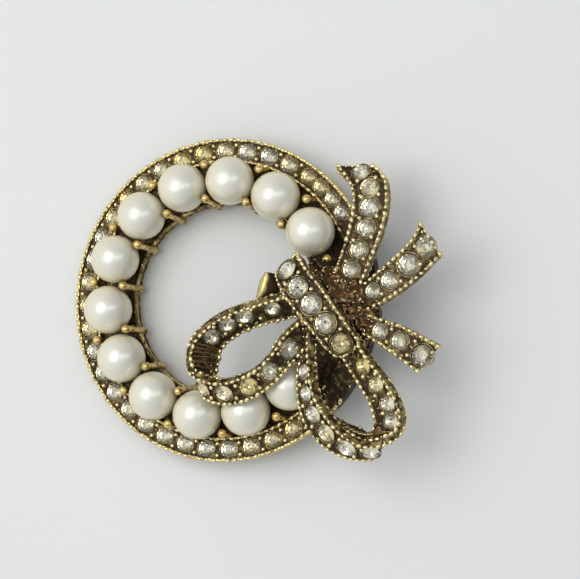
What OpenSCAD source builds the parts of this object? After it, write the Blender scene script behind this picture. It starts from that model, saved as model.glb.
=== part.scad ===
// Bow brooch: a round wreath with pearls and a channel of cut stones,
// a ribbon bow set with stones across its band, and a pin on its back.
// Sizes in millimetres. The brooch is built in the wreath's own frame, with z = 0 at
// the wreath's flat back, and is then laid down on its left edge and its pin.

/* [Wreath] */
// Outer radius of the wreath
ring_r = 19.9; // [19.5:0.1:21]
// Radius of the opening in the wreath
opening_r = 11.8; // [11.2:0.1:12.1]
// Thickness of the wreath's plate
plate_t = 1.0; // [0.8:0.05:1.2]
// Height of the stone channel's rims above the plate
rim_h = 0.85; // [0.7:0.05:1]
// Width of each rim of the channel
rim_w = 0.3; // [0.25:0.05:0.45]
// Depth of the channel's bed below its rims
bed_drop = 0.3; // [0.2:0.05:0.4]
// Width of bed left on each side of the stones
bed_spare = 0.05; // [0.04:0.01:0.1]
// Width of the lip around the opening
lip_w = 0.4; // [0.3:0.05:0.5]
// Height of the lip above the plate
lip_h = 0.3; // [0.2:0.05:0.4]
// Bevel along the wreath's back edges
bevel = 0.15; // [0.1:0.05:0.2]

/* [Pearls] */
// Diameter of a pearl
pearl_d = 6.0; // [5.6:0.1:6.1]
// Gap between two neighbouring pearls
pearl_gap = 0.35; // [0.25:0.05:0.5]
// How far each pearl overhangs the opening
pearl_overhang = 0.35; // [0.1:0.05:0.6]
// Height of a pearl's lowest point above the plate
pearl_lift = 0.3; // [0.2:0.05:0.5]
// Direction of the first pearl, beside the bow
first_pearl_dir = 32; // [30:1:34]

/* [Prongs] */
// Diameter of a prong's post
post_d = 0.85; // [0.7:0.05:0.95]
// Diameter of the bead on a prong
bead_d = 1.15; // [1:0.05:1.25]
// Height of the inner beads above the back
inner_bead_z = 4.9; // [4.5:0.1:5.3]
// Height of the outer beads above the back
outer_bead_z = 4.3; // [3.8:0.1:4.6]
// Gap between the inner beads and the pearls
inner_bead_gap = 0.15; // [0.1:0.05:0.25]
// Gap between the outer beads and the pearls
outer_bead_gap = 0.45; // [0.35:0.05:0.5]
// How far each inner prong leans towards the pearls
inner_lean = 0.45; // [0.2:0.05:0.5]
// How far each outer prong leans towards the pearls
outer_lean = 0.15; // [0:0.05:0.2]
// Radius at which the single prong stands at each end of the row
end_prong_r = 15.0; // [14.4:0.1:15.6]
// Turn from the row's last pearl to that prong
end_prong_turn = 15.4; // [15:0.1:16]

/* [Cut stones] */
// Diameter of a stone in the wreath's channel
ring_stone_d = 2.1; // [1.9:0.05:2.2]
// Spacing of the stones along the channel
ring_stone_step = 2.94; // [2.6:0.02:3.1]
// Diameter of the four close stones beside the upper tail
close_stone_d = 1.9; // [1.6:0.05:1.95]
// Spacing of those close stones
close_stone_step = 2.1; // [2.1:0.02:2.5]
// Direction of the channel's first stone, beside the upper tail
first_stone_dir = 33.5; // [32:0.5:36]
// Direction where the channel's row of stones ends, beside the lower loop
last_stone_dir = 310; // [300:1:316]
// Width of a stone's table, as a share of its diameter
table_share = 0.56; // [0.45:0.01:0.65]
// Height of a stone above its widest line, as a share of its diameter
crown_share = 0.17; // [0.12:0.01:0.2]
// Depth of a stone below its widest line, as a share of its diameter
pavilion_share = 0.28; // [0.25:0.01:0.3]
// Gap between a stone and the metal round it
stone_gap = 0.05; // [0.05:0.01:0.1]

/* [Bow] */
// Height of the bow above the pearls' tops
bow_rise = 2.7; // [2.5:0.1:3.7]
// Direction of the bow's middle on the wreath
bow_dir = -6; // [-8:1:-4]
// Thickness of the loops' bands between their rims
loop_t = 0.8; // [0.8:0.05:1.1]
// Thickness of the tails and the knot between their rims
tail_t = 1.0; // [1:0.05:1.3]
// Height of a ribbon's rims above each of its faces
ribbon_rim_h = 0.13; // [0.1:0.01:0.25]
// Width of a ribbon's rims
ribbon_rim_w = 0.42; // [0.3:0.02:0.5]
// Height of the ribs inside the loops' tips
rib_h = 0.2; // [0.1:0.01:0.25]
// Reach of the left loop from the bow's middle
left_reach = 18; // [17:0.1:18.4]
// Breadth of the left loop
left_breadth = 12; // [11.5:0.1:12.5]
// Reach of the lower loop from the bow's middle
lower_reach = 20; // [19:0.1:21]
// Breadth of the lower loop
lower_breadth = 13; // [12.5:0.1:14]
// Reach of the upper tail
tail_1_reach = 17.5; // [16:0.1:19]
// Reach of the middle tail
tail_2_reach = 16.5; // [15:0.1:18]
// Reach of the short tail
tail_3_reach = 16; // [15:0.1:17.5]
// Width of the tails near their ends
tail_breadth = 5; // [4.6:0.1:5.3]
// Length of the knot from the bow's middle
knot_reach = 6; // [5.8:0.1:6.5]
// Width of the knot
knot_breadth = 5; // [4.8:0.1:5.3]
// How far the knot's face is crowned
knot_crown = 0.4; // [0.2:0.05:0.5]
// Diameter of the bow's plain stones
bow_stone_d = 2.0; // [1.9:0.05:2.1]
// Reach of the folds gathered at the bow's middle
fold_reach = 6.0; // [5.6:0.1:6.4]
// Radius of those folds
fold_r = 1.2; // [1.1:0.05:1.3]
// Radius of the rolled tab beside the left loop
tab_r = 0.6; // [0.5:0.05:0.7]
// Radius of the bow's foot on the wreath's plate
foot_r = 1.95; // [1.5:0.05:2]
// Gap between pieces that seat on each other
seat_gap = 0.05; // [0.03:0.01:0.1]

/* [Pin] */
// Distance of the pin from the wreath's middle
pin_out = 13.2; // [13:0.1:14]
// Direction from the wreath's middle to the pin
lean_dir = -14; // [-18:1:-10]
// Radius of the pin's stem
stem_r = 0.5; // [0.4:0.05:0.6]
// Radius of the pin beyond its catch
point_r = 0.3; // [0.25:0.01:0.33]
// Length of the straight end beyond the catch
point_l = 2.2; // [2:0.1:2.6]
// Length of the pin's taper
taper_l = 1.3; // [1:0.1:1.5]
// Distance from the hinge to the catch
pin_span = 19; // [17:0.5:20]
// Depth of the stem's axis below the wreath's back
pin_drop = 3.0; // [2.6:0.1:3.4]
// Outer radius of the hinge and of the catch
knuckle_r = 1.1; // [1:0.05:1.3]
// Length of the hinge and of the catch along the pin
knuckle_l = 2.0; // [1.6:0.1:2.4]
// Width of the bar that holds the pin
bar_w = 2.4; // [2:0.1:2.6]
// Thickness of the bar
bar_t = 0.7; // [0.6:0.05:0.9]
// Clearance of the stem in its catch
catch_gap = 0.12; // [0.1:0.02:0.15]

/* [Hidden] */
$fn = 48;

// Columns of a ribbon's rows: two edges, each as shares of reach, breadth and rise
EDGE_A = 0;
EDGE_B = 3;
SPREAD = 6;
// Columns of a stone's row: its place among the ribbon's rows, its shift aside,
// its width, its face
PLACE = 0;
ASIDE = 1;
WIDE = 2;
FACE = 3;
// Faces of a ribbon: a loop's inner face is the upper face of a tail
INNER = 1;
OUTER = -1;

// Heights above the wreath's back
rim_z = plate_t + rim_h;
bed_z = rim_z - bed_drop;
pearl_z = plate_t + pearl_lift + pearl_d / 2;
// Circles of the stones and the pearls
bed_half_w = ring_stone_d / 2 + stone_gap + bed_spare;
ring_stone_r = ring_r - rim_w - bed_half_w;
inner_rim_r = ring_stone_r - bed_half_w - rim_w;
pearl_circle_r = opening_r + pearl_d / 2 - pearl_overhang;
pearl_count = 12;
pearl_step = 2 * asin((pearl_d + pearl_gap) / 2 / pearl_circle_r);
last_pearl_dir = first_pearl_dir + (pearl_count - 1) * pearl_step;
// The channel's stones run all round but for the stretch under the bow
close_count = 4;
close_angle = close_stone_step / ring_stone_r * 180 / PI;
step_angle = ring_stone_step / ring_stone_r * 180 / PI;
even_start_dir = first_stone_dir + (close_count - 1) * close_angle;
ring_stone_count = close_count + floor((last_stone_dir - even_start_dir) / step_angle);
// Middle of the bow, over the pearls' circle, and its height above the wreath's back
bow_at = pearl_circle_r * [cos(bow_dir), sin(bow_dir), 0];
bow_top = pearl_z + pearl_d / 2 + bow_rise;

// Left loop, from its rear root round its tip to its front root
// [A out, A aside, A up, B out, B aside, B up]
left_loop_rows = [
    [0.11, -0.26, 0.76, 0.13, -0.04, 0.56],
    [0.38, -0.34, 0.82, 0.36, -0.15, 0.54],
    [0.57, -0.38, 0.84, 0.52, -0.19, 0.55],
    [0.72, -0.37, 0.84, 0.66, -0.19, 0.54],
    [0.87, -0.30, 0.84, 0.79, -0.13, 0.53],
    [0.96, -0.17, 0.85, 0.84, -0.03, 0.53],
    [0.99, -0.02, 0.89, 0.93, 0.16, 0.60],
    [0.95, 0.11, 0.93, 1.00, 0.27, 0.69],
    [0.87, 0.22, 0.96, 0.96, 0.37, 0.75],
    [0.77, 0.30, 0.98, 0.86, 0.48, 0.79],
    [0.65, 0.33, 0.99, 0.73, 0.54, 0.82],
    [0.52, 0.33, 1.00, 0.60, 0.55, 0.84],
    [0.38, 0.26, 0.99, 0.46, 0.51, 0.84],
    [0.25, 0.14, 0.94, 0.32, 0.42, 0.80],
    [0.12, 0.07, 0.86, 0.15, 0.30, 0.72]
];
// Lower loop, from its front root round its tip to its rear root; the band thickens
// inwards below the tip by the last column, a share of the breadth
// [A out, A aside, A up, B out, B aside, B up, spread]
lower_loop_rows = [
    [0.14, -0.17, 0.84, 0.21, -0.30, 0.70, 0],
    [0.30, -0.25, 0.88, 0.31, -0.42, 0.72, 0.02],
    [0.43, -0.30, 0.89, 0.41, -0.49, 0.72, 0.06],
    [0.54, -0.31, 0.88, 0.52, -0.54, 0.69, 0.12],
    [0.66, -0.28, 0.84, 0.64, -0.55, 0.64, 0.18],
    [0.78, -0.21, 0.80, 0.78, -0.48, 0.60, 0.23],
    [0.88, -0.08, 0.78, 0.90, -0.31, 0.57, 0.23],
    [0.92, 0.10, 0.76, 0.96, -0.10, 0.54, 0.2],
    [0.91, 0.27, 0.73, 0.88, 0.05, 0.51, 0.07],
    [0.83, 0.38, 0.71, 0.76, 0.10, 0.53, 0],
    [0.71, 0.40, 0.70, 0.65, 0.12, 0.56, 0],
    [0.56, 0.36, 0.70, 0.52, 0.09, 0.56, 0],
    [0.41, 0.29, 0.68, 0.39, 0.05, 0.54, 0],
    [0.21, 0.22, 0.64, 0.24, 0.02, 0.52, 0]
];
// Upper tail, from its root to its cut end; A is its right edge
tail_1_rows = [
    [0.13, -0.71, 0.54, 0.12, -0.09, 0.54],
    [0.34, -0.82, 0.59, 0.25, -0.03, 0.59],
    [0.57, -0.89, 0.61, 0.46, -0.08, 0.61],
    [0.75, -0.85, 0.60, 0.66, -0.03, 0.60],
    [0.90, -0.68, 0.57, 0.79, 0.12, 0.57],
    [0.98, -0.46, 0.51, 0.87, 0.37, 0.52],
    [1.02, -0.12, 0.42, 0.95, 0.82, 0.45]
];
// Middle tail, from its root to its cut end; A is its lower edge
tail_2_rows = [
    [0.14, -0.55, 0.50, 0.17, -0.10, 0.50],
    [0.27, -0.65, 0.56, 0.31, -0.05, 0.56],
    [0.43, -0.71, 0.60, 0.50, 0.03, 0.60],
    [0.63, -0.68, 0.62, 0.71, 0.14, 0.62],
    [0.81, -0.58, 0.61, 0.85, 0.30, 0.61],
    [0.94, -0.44, 0.56, 0.92, 0.51, 0.56]
];
// Short tail, from its root to its cut end; A is its lower edge
tail_3_rows = [
    [0.18, -0.12, 0.48, 0.17, 0.25, 0.48],
    [0.30, -0.19, 0.54, 0.29, 0.31, 0.54],
    [0.45, -0.19, 0.59, 0.45, 0.37, 0.59],
    [0.66, -0.26, 0.61, 0.65, 0.45, 0.61],
    [0.87, -0.39, 0.56, 0.94, 0.42, 0.56]
];
// Knot, from its upper end across the bow to its lower end; A is its left edge
knot_rows = [
    [-1.15, -0.33, 0.67, -1.13, 0.44, 0.67],
    [-0.96, -0.36, 0.82, -0.96, 0.43, 0.82],
    [-0.58, -0.43, 0.92, -0.58, 0.42, 0.92],
    [-0.20, -0.44, 0.95, -0.18, 0.43, 0.95],
    [0.20, -0.45, 0.95, 0.26, 0.39, 0.95],
    [0.58, -0.47, 0.93, 0.66, 0.34, 0.93],
    [0.87, -0.48, 0.88, 0.95, 0.29, 0.88],
    [1.12, -0.46, 0.74, 1.15, 0.25, 0.74]
];

// Columns of a ribbon: its direction, its three sizes, its rows, its thickness,
// the crown of its face, and the face that its rows run along
TURN = 0;
SIZE = 1;
ROWS = 2;
THICK = 3;
CROWN = 4;
ALONG = 5;
left_loop = [205, [left_reach, left_breadth, bow_top], left_loop_rows, loop_t, 0, OUTER];
lower_loop = [-68, [lower_reach, lower_breadth, bow_top], lower_loop_rows, loop_t, 0, OUTER];
tail_1 = [72, [tail_1_reach, tail_breadth, bow_top], tail_1_rows, tail_t, 0, INNER];
tail_2 = [29, [tail_2_reach, tail_breadth, bow_top], tail_2_rows, tail_t, 0, INNER];
tail_3 = [-27, [tail_3_reach, tail_breadth, bow_top], tail_3_rows, tail_t, 0, INNER];
knot = [-49.5, [knot_reach, knot_breadth, bow_top], knot_rows, tail_t, knot_crown, INNER];

// Stones of each ribbon: [place among its rows, share of the half width aside,
// width as a share of a plain stone's, face]
left_loop_gems = [
    [0.68, 0.22, 1, INNER], [1.62, 0.25, 1.075, INNER], [2.5, 0.2, 1.025, INNER],
    [3.5, 0.2, 1, INNER], [7.4, 0, 1, OUTER], [8.9, 0, 1.1, OUTER],
    [10.4, 0, 1.15, OUTER], [11.7, 0, 1.05, OUTER], [13.0, 0, 1.1, OUTER]
];
lower_loop_gems = [
    [1.25, 0, 0.95, OUTER], [2.36, 0, 0.95, OUTER], [3.5, 0, 1.1, OUTER],
    [4.55, 0, 1.175, OUTER], [5.6, 0, 1.175, OUTER], [6.66, 0, 1.1, OUTER],
    [8.9, 0.25, 1, INNER], [9.85, 0.25, 1, INNER], [10.8, 0.2, 1, INNER],
    [11.75, 0.2, 1, INNER]
];
tail_1_gems = [
    [1.0, 0, 1.05, INNER], [1.65, 0, 1.075, INNER], [2.38, 0, 1.1, INNER],
    [3.2, 0, 1.175, INNER], [4.25, 0, 1.2, INNER], [5.45, 0, 1.05, INNER]
];
tail_2_gems = [
    [1.5, -0.1, 0.9, INNER], [2.3, 0, 1.05, INNER], [3.22, 0, 1.3, INNER],
    [4.35, 0, 1.25, INNER]
];
tail_3_gems = [
    [2.2, 0, 0.95, INNER], [3.05, 0, 1.025, INNER], [3.75, 0, 1.25, INNER]
];
knot_gems = [
    [1.2, 0, 1.15, INNER], [2.35, 0, 1.2, INNER], [3.45, 0, 1.225, INNER],
    [4.6, 0, 1.25, INNER], [6.1, 0, 1.2, INNER]
];

// Stretch of each loop's tip that carries ribs on its inner face: [from row, to row, ribs]
left_ribs = [4.2, 6.6, 11];
lower_ribs = [4.4, 7.8, 11];

// Folds gathered at the bow's middle: [direction, shares of reach, bow's height and radius]
core_lobes = [
    [84, 0.683, 0.45, 0.833],
    [62, 0.733, 0.49, 1.083],
    [40, 0.8, 0.50, 0.917],
    [20, 0.933, 0.49, 1],
    [5, 1.017, 0.50, 0.917],
    [-10, 1.017, 0.47, 0.917],
    [-27, 1.017, 0.48, 1],
    [-46, 1, 0.47, 0.917],
    [-66, 0.9, 0.50, 0.833]
];
// Rolled tab beside the left loop, from the bow's middle: [x and y as shares of the folds'
// reach, share of the bow's height, share of the tab's radius]
tab_spots = [
    [-0.983, 0.717, 0.76, 0.667],
    [-1.1, 0.483, 0.75, 1],
    [-1.167, 0.233, 0.74, 1]
];

// Vector of length one along v
function unit(v) = v / norm(v);

// Point of a smooth curve through the rows p, at place s among them
function spline(p, s) =
    let (n = len(p), i = max(0, min(floor(s), n - 2)), f = s - i,
        a = p[max(i - 1, 0)], b = p[i], c = p[i + 1], d = p[min(i + 2, n - 1)])
    0.5 * (2 * b + (c - a) * f + (2 * a - 5 * b + 4 * c - d) * f * f
        + (3 * b - a - 3 * c + d) * f * f * f);

// Point on an edge of a ribbon, at place s among its rows
function edge_at(ribbon, s, edge) =
    let (row = spline(ribbon[ROWS], s), turn = ribbon[TURN], size = ribbon[SIZE],
        out = row[edge] * size[0], aside = row[edge + 1] * size[1])
    bow_at + out * [cos(turn), sin(turn), 0] + aside * [-sin(turn), cos(turn), 0]
        + [0, 0, row[edge + 2] * size[2]];

function middle_at(ribbon, s) = (edge_at(ribbon, s, EDGE_A) + edge_at(ribbon, s, EDGE_B)) / 2;

// Frame of a ribbon at place s: [middle, along, across, inner normal, half width]
function frame_at(ribbon, s) =
    let (last = len(ribbon[ROWS]) - 1, e = 0.05,
        a = edge_at(ribbon, s, EDGE_A), b = edge_at(ribbon, s, EDGE_B),
        across = unit(a - b),
        ahead = middle_at(ribbon, min(s + e, last)) - middle_at(ribbon, max(s - e, 0)),
        normal = unit(cross(across, ahead)),
        middle = (a + b) / 2 - normal * ribbon[ALONG] * (ribbon[THICK] / 2 + ribbon_rim_h))
    [middle, cross(normal, across), across, normal, norm(a - b) / 2];

// Outline of a ribbon's section: rims along both edges, thinner between, crowned face.
// The last number of a point is 1 where the band's spread moves it
function ribbon_section(half_w, thick, crown, lift) =
    let (w = half_w, v = half_w - ribbon_rim_w, t = thick / 2, e = t + ribbon_rim_h)
    [[-w, -e, 0], [-v, -e, 0], [-v, -t, 0], [v, -t, 0], [v, -e, 0], [w, -e, 0],
        [w, e, 0], [v, e, 0], [v, t + lift, 0], [0, t + crown + lift, 0.5],
        [-v, t + lift, 1], [-v, e, 1], [-w, e, 1]];

// Level vector by which the inner face's edge B stands further inwards at place s
function spread_at(ribbon, s) =
    let (row = spline(ribbon[ROWS], s), normal = frame_at(ribbon, s)[3])
    is_undef(row[SPREAD]) ? [0, 0, 0]
        : max(row[SPREAD], 0) * ribbon[SIZE][1] * unit([normal[0], normal[1], 0]);

// Point set of one section of a ribbon, its inner face raised by lift
function section_at(ribbon, s, lift) =
    let (f = frame_at(ribbon, s), spread = spread_at(ribbon, s))
    [for (q = ribbon_section(f[4], ribbon[THICK], ribbon[CROWN], lift))
        f[0] + q[0] * f[2] + q[1] * f[3] + q[2] * spread];

// Places of a ribbon's sections, each with its lift, evenly spaced and without ribs
function plain_places(ribbon, step) =
    let (last = len(ribbon[ROWS]) - 1, n = ceil(last / step))
    [for (j = [0:n]) [j * last / n, 0]];

// The same with ribs between two rows, where every other section is raised
function ribbed_places(ribbon, step, ribs) =
    let (last = len(ribbon[ROWS]) - 1, n = ceil(ribs[0] / step),
        m = ceil((last - ribs[1]) / step), wide = ribs[1] - ribs[0])
    concat(
        [for (j = [0:n]) [ribs[0] * j / n, 0]],
        [for (k = [1:2 * ribs[2]]) [ribs[0] + wide * k / (2 * ribs[2]), (k % 2) * rib_h]],
        [for (j = [1:m]) [ribs[1] + (last - ribs[1]) * j / m, 0]]
    );

// Turns a shape about the leaning axis until the wreath rests on its left edge and its pin
edge_r = ring_r - bevel;
rest_tilt = atan(pin_drop / (edge_r + pin_out))
    + asin(knuckle_r / norm([edge_r + pin_out, pin_drop]));
lean_axis = [sin(lean_dir), -cos(lean_dir), 0];
function laid(p) =
    p * cos(rest_tilt) + cross(lean_axis, p) * sin(rest_tilt)
        + lean_axis * (lean_axis * p) * (1 - cos(rest_tilt));
// The origin lies on the surface, under the middle of the brooch's outline
wreath_normal = laid([0, 0, 1]);
low_x = -ring_r * sqrt(1 - pow(wreath_normal[0], 2)) + wreath_normal[0] * rim_z;
high_x = laid(edge_at(tail_2, len(tail_2_rows) - 1, EDGE_A))[0];
low_y = laid(edge_at(lower_loop, 6.5, EDGE_B))[1];
high_y = ring_r * sqrt(1 - pow(wreath_normal[1], 2)) + wreath_normal[1] * rim_z;
origin_shift = [-(low_x + high_x) / 2, -(low_y + high_y) / 2, edge_r * sin(rest_tilt)];

module at_rest() {
    translate(origin_shift) rotate(a = rest_tilt, v = lean_axis) children();
}

// Places a shape at a direction and a radius of the wreath
module around(dir, r, z) {
    rotate([0, 0, dir]) translate([r, 0, z]) children();
}

// Places a stone's shape on a ribbon's face, with z along the face's normal
module on_ribbon(ribbon, gem) {
    f = frame_at(ribbon, gem[PLACE]);
    x = f[1];
    z = f[3] * gem[FACE];
    y = cross(z, x);
    face_h = ribbon[THICK] / 2 + (gem[FACE] == INNER ? ribbon[CROWN] : 0);
    p = f[0] + f[2] * f[4] * gem[ASIDE] + z * face_h;
    multmatrix([
        [x[0], y[0], z[0], p[0]],
        [x[1], y[1], z[1], p[1]],
        [x[2], y[2], z[2], p[2]],
        [0, 0, 0, 1]
    ]) children();
}

// Cut stone of diameter d: a flat table, three rings of facets and a pointed back
module cut_stone(d) {
    table_r = d * table_share / 2;
    table = [for (i = [0:7]) concat(table_r * [cos(45 * i), sin(45 * i)], d * crown_share)];
    girdle = [for (i = [0:15]) concat(d / 2 * [cos(22.5 * i), sin(22.5 * i)], 0)];
    culet = 24;
    polyhedron(
        points = concat(table, girdle, [[0, 0, -d * pavilion_share]]),
        faces = concat(
            [[for (i = [7:-1:0]) i]],
            [for (i = [0:7]) [i, (i + 1) % 8, 8 + 2 * i + 1]],
            [for (i = [0:7]) [i, 8 + 2 * i + 1, 8 + 2 * i]],
            [for (i = [0:7]) [i, 8 + 2 * i, 8 + (2 * i + 15) % 16]],
            [for (i = [0:15]) [culet, 8 + i, 8 + (i + 1) % 16]]
        )
    );
}

// Stones of one ribbon, their widest line level with the ribbon's face
module ribbon_stones(ribbon, gems) {
    color("lavender") at_rest()
        for (g = gems) on_ribbon(ribbon, g) cut_stone(g[WIDE] * bow_stone_d);
}

// Hollows that the stones of one ribbon sit in
module ribbon_pockets(ribbon, gems) {
    for (g = gems) on_ribbon(ribbon, g) {
        d = g[WIDE] * bow_stone_d;
        deep = d * pavilion_share + stone_gap;
        translate([0, 0, -deep]) cylinder(r = d / 2 + stone_gap, h = deep + d / 2, $fn = 16);
    }
}

// Ribbon swept through its places, with closed ends
module ribbon_body(ribbon, places) {
    sides = 13;
    last = len(places) - 1;
    rings = [for (place = places) section_at(ribbon, place[0], place[1])];
    polyhedron(
        points = [for (ring = rings) each ring],
        faces = concat(
            [[for (i = [sides - 1:-1:0]) i]],
            [[for (i = [0:sides - 1]) last * sides + i]],
            [for (j = [0:last - 1], i = [0:sides - 1])
                [j * sides + i, j * sides + (i + 1) % sides, (j + 1) * sides + i]],
            [for (j = [0:last - 1], i = [0:sides - 1])
                [j * sides + (i + 1) % sides, (j + 1) * sides + (i + 1) % sides,
                    (j + 1) * sides + i]]
        )
    );
}

// Gathered middle of the bow, from its foot on the plate up under the knot
module bow_core() {
    knot_dir = knot[0];
    hull() {
        translate(bow_at + [0, 0, plate_t + seat_gap])
            cylinder(r = foot_r, h = foot_r / 2, $fn = 32);
        for (side = [-1, 1])
            translate(bow_at + 0.367 * knot_reach * side * [cos(knot_dir), sin(knot_dir), 0]
                + [0, 0, 0.79 * bow_top]) sphere(r = 0.28 * knot_breadth, $fn = 12);
    }
    for (lobe = core_lobes)
        hull() {
            translate(bow_at + [0, 0, 0.62 * bow_top]) sphere(r = 1.33 * fold_r, $fn = 10);
            translate(bow_at + lobe[1] * fold_reach * [cos(lobe[0]), sin(lobe[0]), 0]
                + [0, 0, lobe[2] * bow_top]) sphere(r = lobe[3] * fold_r, $fn = 9);
        }
    for (ribbon = [left_loop, lower_loop])
        for (s = [0, len(ribbon[ROWS]) - 1])
            hull() {
                translate(frame_at(ribbon, s)[0]) sphere(r = 0.75 * fold_r, $fn = 10);
                translate(bow_at + [0, 0, 0.75 * bow_top]) sphere(r = fold_r, $fn = 10);
            }
}

// Middle of the rolled tab at one of its spots
function tab_at(spot) =
    bow_at + [spot[0] * fold_reach, spot[1] * fold_reach, spot[2] * bow_top];

// Plain rolled end of the knot's band, beside the left loop
module rolled_tab() {
    for (i = [0:len(tab_spots) - 2])
        hull()
            for (spot = [tab_spots[i], tab_spots[i + 1]])
                translate(tab_at(spot)) sphere(r = spot[3] * tab_r, $fn = 12);
    hull() {
        translate(frame_at(knot, 0.8)[0]) sphere(r = 0.83 * tab_r, $fn = 10);
        translate(tab_at(tab_spots[0])) sphere(r = 0.83 * tab_r, $fn = 10);
    }
}

module bow_casting() {
    color("darkgoldenrod") at_rest() difference() {
        union() {
            ribbon_body(left_loop, ribbed_places(left_loop, 0.34, left_ribs));
            ribbon_body(lower_loop, ribbed_places(lower_loop, 0.34, lower_ribs));
            for (ribbon = [tail_1, tail_2, tail_3, knot])
                ribbon_body(ribbon, plain_places(ribbon, 0.4));
            bow_core();
            rolled_tab();
        }
        ribbon_pockets(left_loop, left_loop_gems);
        ribbon_pockets(lower_loop, lower_loop_gems);
        ribbon_pockets(tail_1, tail_1_gems);
        ribbon_pockets(tail_2, tail_2_gems);
        ribbon_pockets(tail_3, tail_3_gems);
        ribbon_pockets(knot, knot_gems);
    }
}

// Direction and diameter of the channel's stone i
function ring_stone_dir(i) =
    i < close_count ? first_stone_dir + i * close_angle
        : even_start_dir + (i - close_count + 1) * step_angle;
function ring_stone_size(i) = i < close_count ? close_stone_d : ring_stone_d;

// Radius of a prong's bead that stands a gap off both pearls beside it
function prong_r(side, bead_z, gap) =
    let (apart = pearl_circle_r * sin(pearl_step / 2), mid = pearl_circle_r * cos(pearl_step / 2),
        reach = (pearl_d + bead_d) / 2 + gap)
    mid + side * sqrt(reach * reach - pow(bead_z - pearl_z, 2) - apart * apart);

// Post that leans from its base towards the pearls, with a round bead on top
module prong(r, base_z, bead_z, side, lean_by) {
    h = bead_z - base_z;
    lean = atan(lean_by / h);
    translate([r, 0, bead_z]) sphere(d = bead_d);
    translate([r, 0, bead_z]) rotate([0, 180 - side * lean, 0])
        cylinder(d = post_d, h = h / cos(lean));
}

module ring_casting() {
    inner_r = prong_r(-1, inner_bead_z, inner_bead_gap);
    outer_r = prong_r(1, outer_bead_z, outer_bead_gap);
    pocket_deep = ring_stone_d * pavilion_share + stone_gap;
    color("darkgoldenrod") at_rest() difference() {
        union() {
            rotate_extrude($fn = 180) polygon([
                [opening_r + bevel, 0], [ring_r - bevel, 0], [ring_r, bevel],
                [ring_r, rim_z], [ring_r - rim_w, rim_z], [ring_r - rim_w, bed_z],
                [inner_rim_r + rim_w, bed_z], [inner_rim_r + rim_w, rim_z],
                [inner_rim_r, rim_z], [inner_rim_r, plate_t],
                [opening_r + lip_w, plate_t], [opening_r + lip_w, plate_t + lip_h],
                [opening_r, plate_t + lip_h], [opening_r, bevel]
            ]);
            for (i = [1:pearl_count - 1]) {
                dir = first_pearl_dir + (i - 0.5) * pearl_step;
                rotate([0, 0, dir]) prong(inner_r, plate_t / 3, inner_bead_z, -1, inner_lean);
                rotate([0, 0, dir]) prong(outer_r, plate_t / 2, outer_bead_z, 1, outer_lean);
            }
            for (dir = [first_pearl_dir - end_prong_turn, last_pearl_dir + end_prong_turn])
                rotate([0, 0, dir]) prong(end_prong_r, plate_t / 2, outer_bead_z, 1, 0);
            for (i = [0:pearl_count - 1])
                around(first_pearl_dir + i * pearl_step, pearl_circle_r, plate_t / 2)
                    cylinder(r = pearl_d / 4, h = plate_t / 2 + pearl_lift + pearl_d / 16);
        }
        for (i = [0:pearl_count - 1])
            around(first_pearl_dir + i * pearl_step, pearl_circle_r, pearl_z)
                sphere(r = pearl_d / 2 + seat_gap);
        for (i = [0:ring_stone_count - 1])
            around(ring_stone_dir(i), ring_stone_r, bed_z - pocket_deep)
                cylinder(r = ring_stone_size(i) / 2 + stone_gap, h = pocket_deep + rim_h);
    }
}

module ring_stones() {
    color("lavender") at_rest()
        for (i = [0:ring_stone_count - 1])
            around(ring_stone_dir(i), ring_stone_r, bed_z) cut_stone(ring_stone_size(i));
}

module pearl(i) {
    color("ivory") at_rest()
        around(first_pearl_dir + i * pearl_step, pearl_circle_r, pearl_z) sphere(d = pearl_d);
}

// Bar with a hinge, a stem and an open catch; y runs along the pin
module pin_back() {
    hinge_y = pin_span / 2;
    catch_y = -pin_span / 2;
    stand = pin_drop - seat_gap;
    stem_l = pin_span + knuckle_l / 2 + catch_gap;
    color("silver") at_rest() rotate([0, 0, lean_dir]) translate([pin_out, 0, 0]) {
        translate([-bar_w / 2, -pin_span / 2 - knuckle_l, -seat_gap - bar_t])
            cube([bar_w, pin_span + 2 * knuckle_l, bar_t]);
        translate([0, hinge_y, -pin_drop]) rotate([90, 0, 0])
            cylinder(r = knuckle_r, h = knuckle_l, center = true);
        translate([-knuckle_r * 0.7, hinge_y - knuckle_l / 2, -stand])
            cube([knuckle_r * 1.4, knuckle_l, stand - bar_t / 2]);
        translate([0, hinge_y, -pin_drop]) rotate([90, 0, 0]) cylinder(r = stem_r, h = stem_l);
        translate([0, hinge_y - stem_l, -pin_drop]) rotate([90, 0, 0])
            cylinder(r = point_r, h = point_l);
        translate([0, hinge_y - stem_l - point_l, -pin_drop]) rotate([90, 0, 0])
            cylinder(r1 = point_r, r2 = point_r / 4, h = taper_l);
        difference() {
            union() {
                translate([0, catch_y, -pin_drop]) rotate([90, 0, 0])
                    cylinder(r = knuckle_r, h = knuckle_l, center = true);
                translate([stem_r + catch_gap, catch_y - knuckle_l / 2, -stand])
                    cube([knuckle_r - stem_r - catch_gap, knuckle_l, stand - bar_t / 2]);
            }
            translate([0, catch_y, -pin_drop]) rotate([90, 0, 0])
                cylinder(r = stem_r + catch_gap, h = 2 * knuckle_l, center = true);
            translate([-2 * knuckle_r, catch_y - knuckle_l, -pin_drop])
                cube([2 * knuckle_r, 2 * knuckle_l, stem_r + catch_gap]);
        }
    }
}

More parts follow.
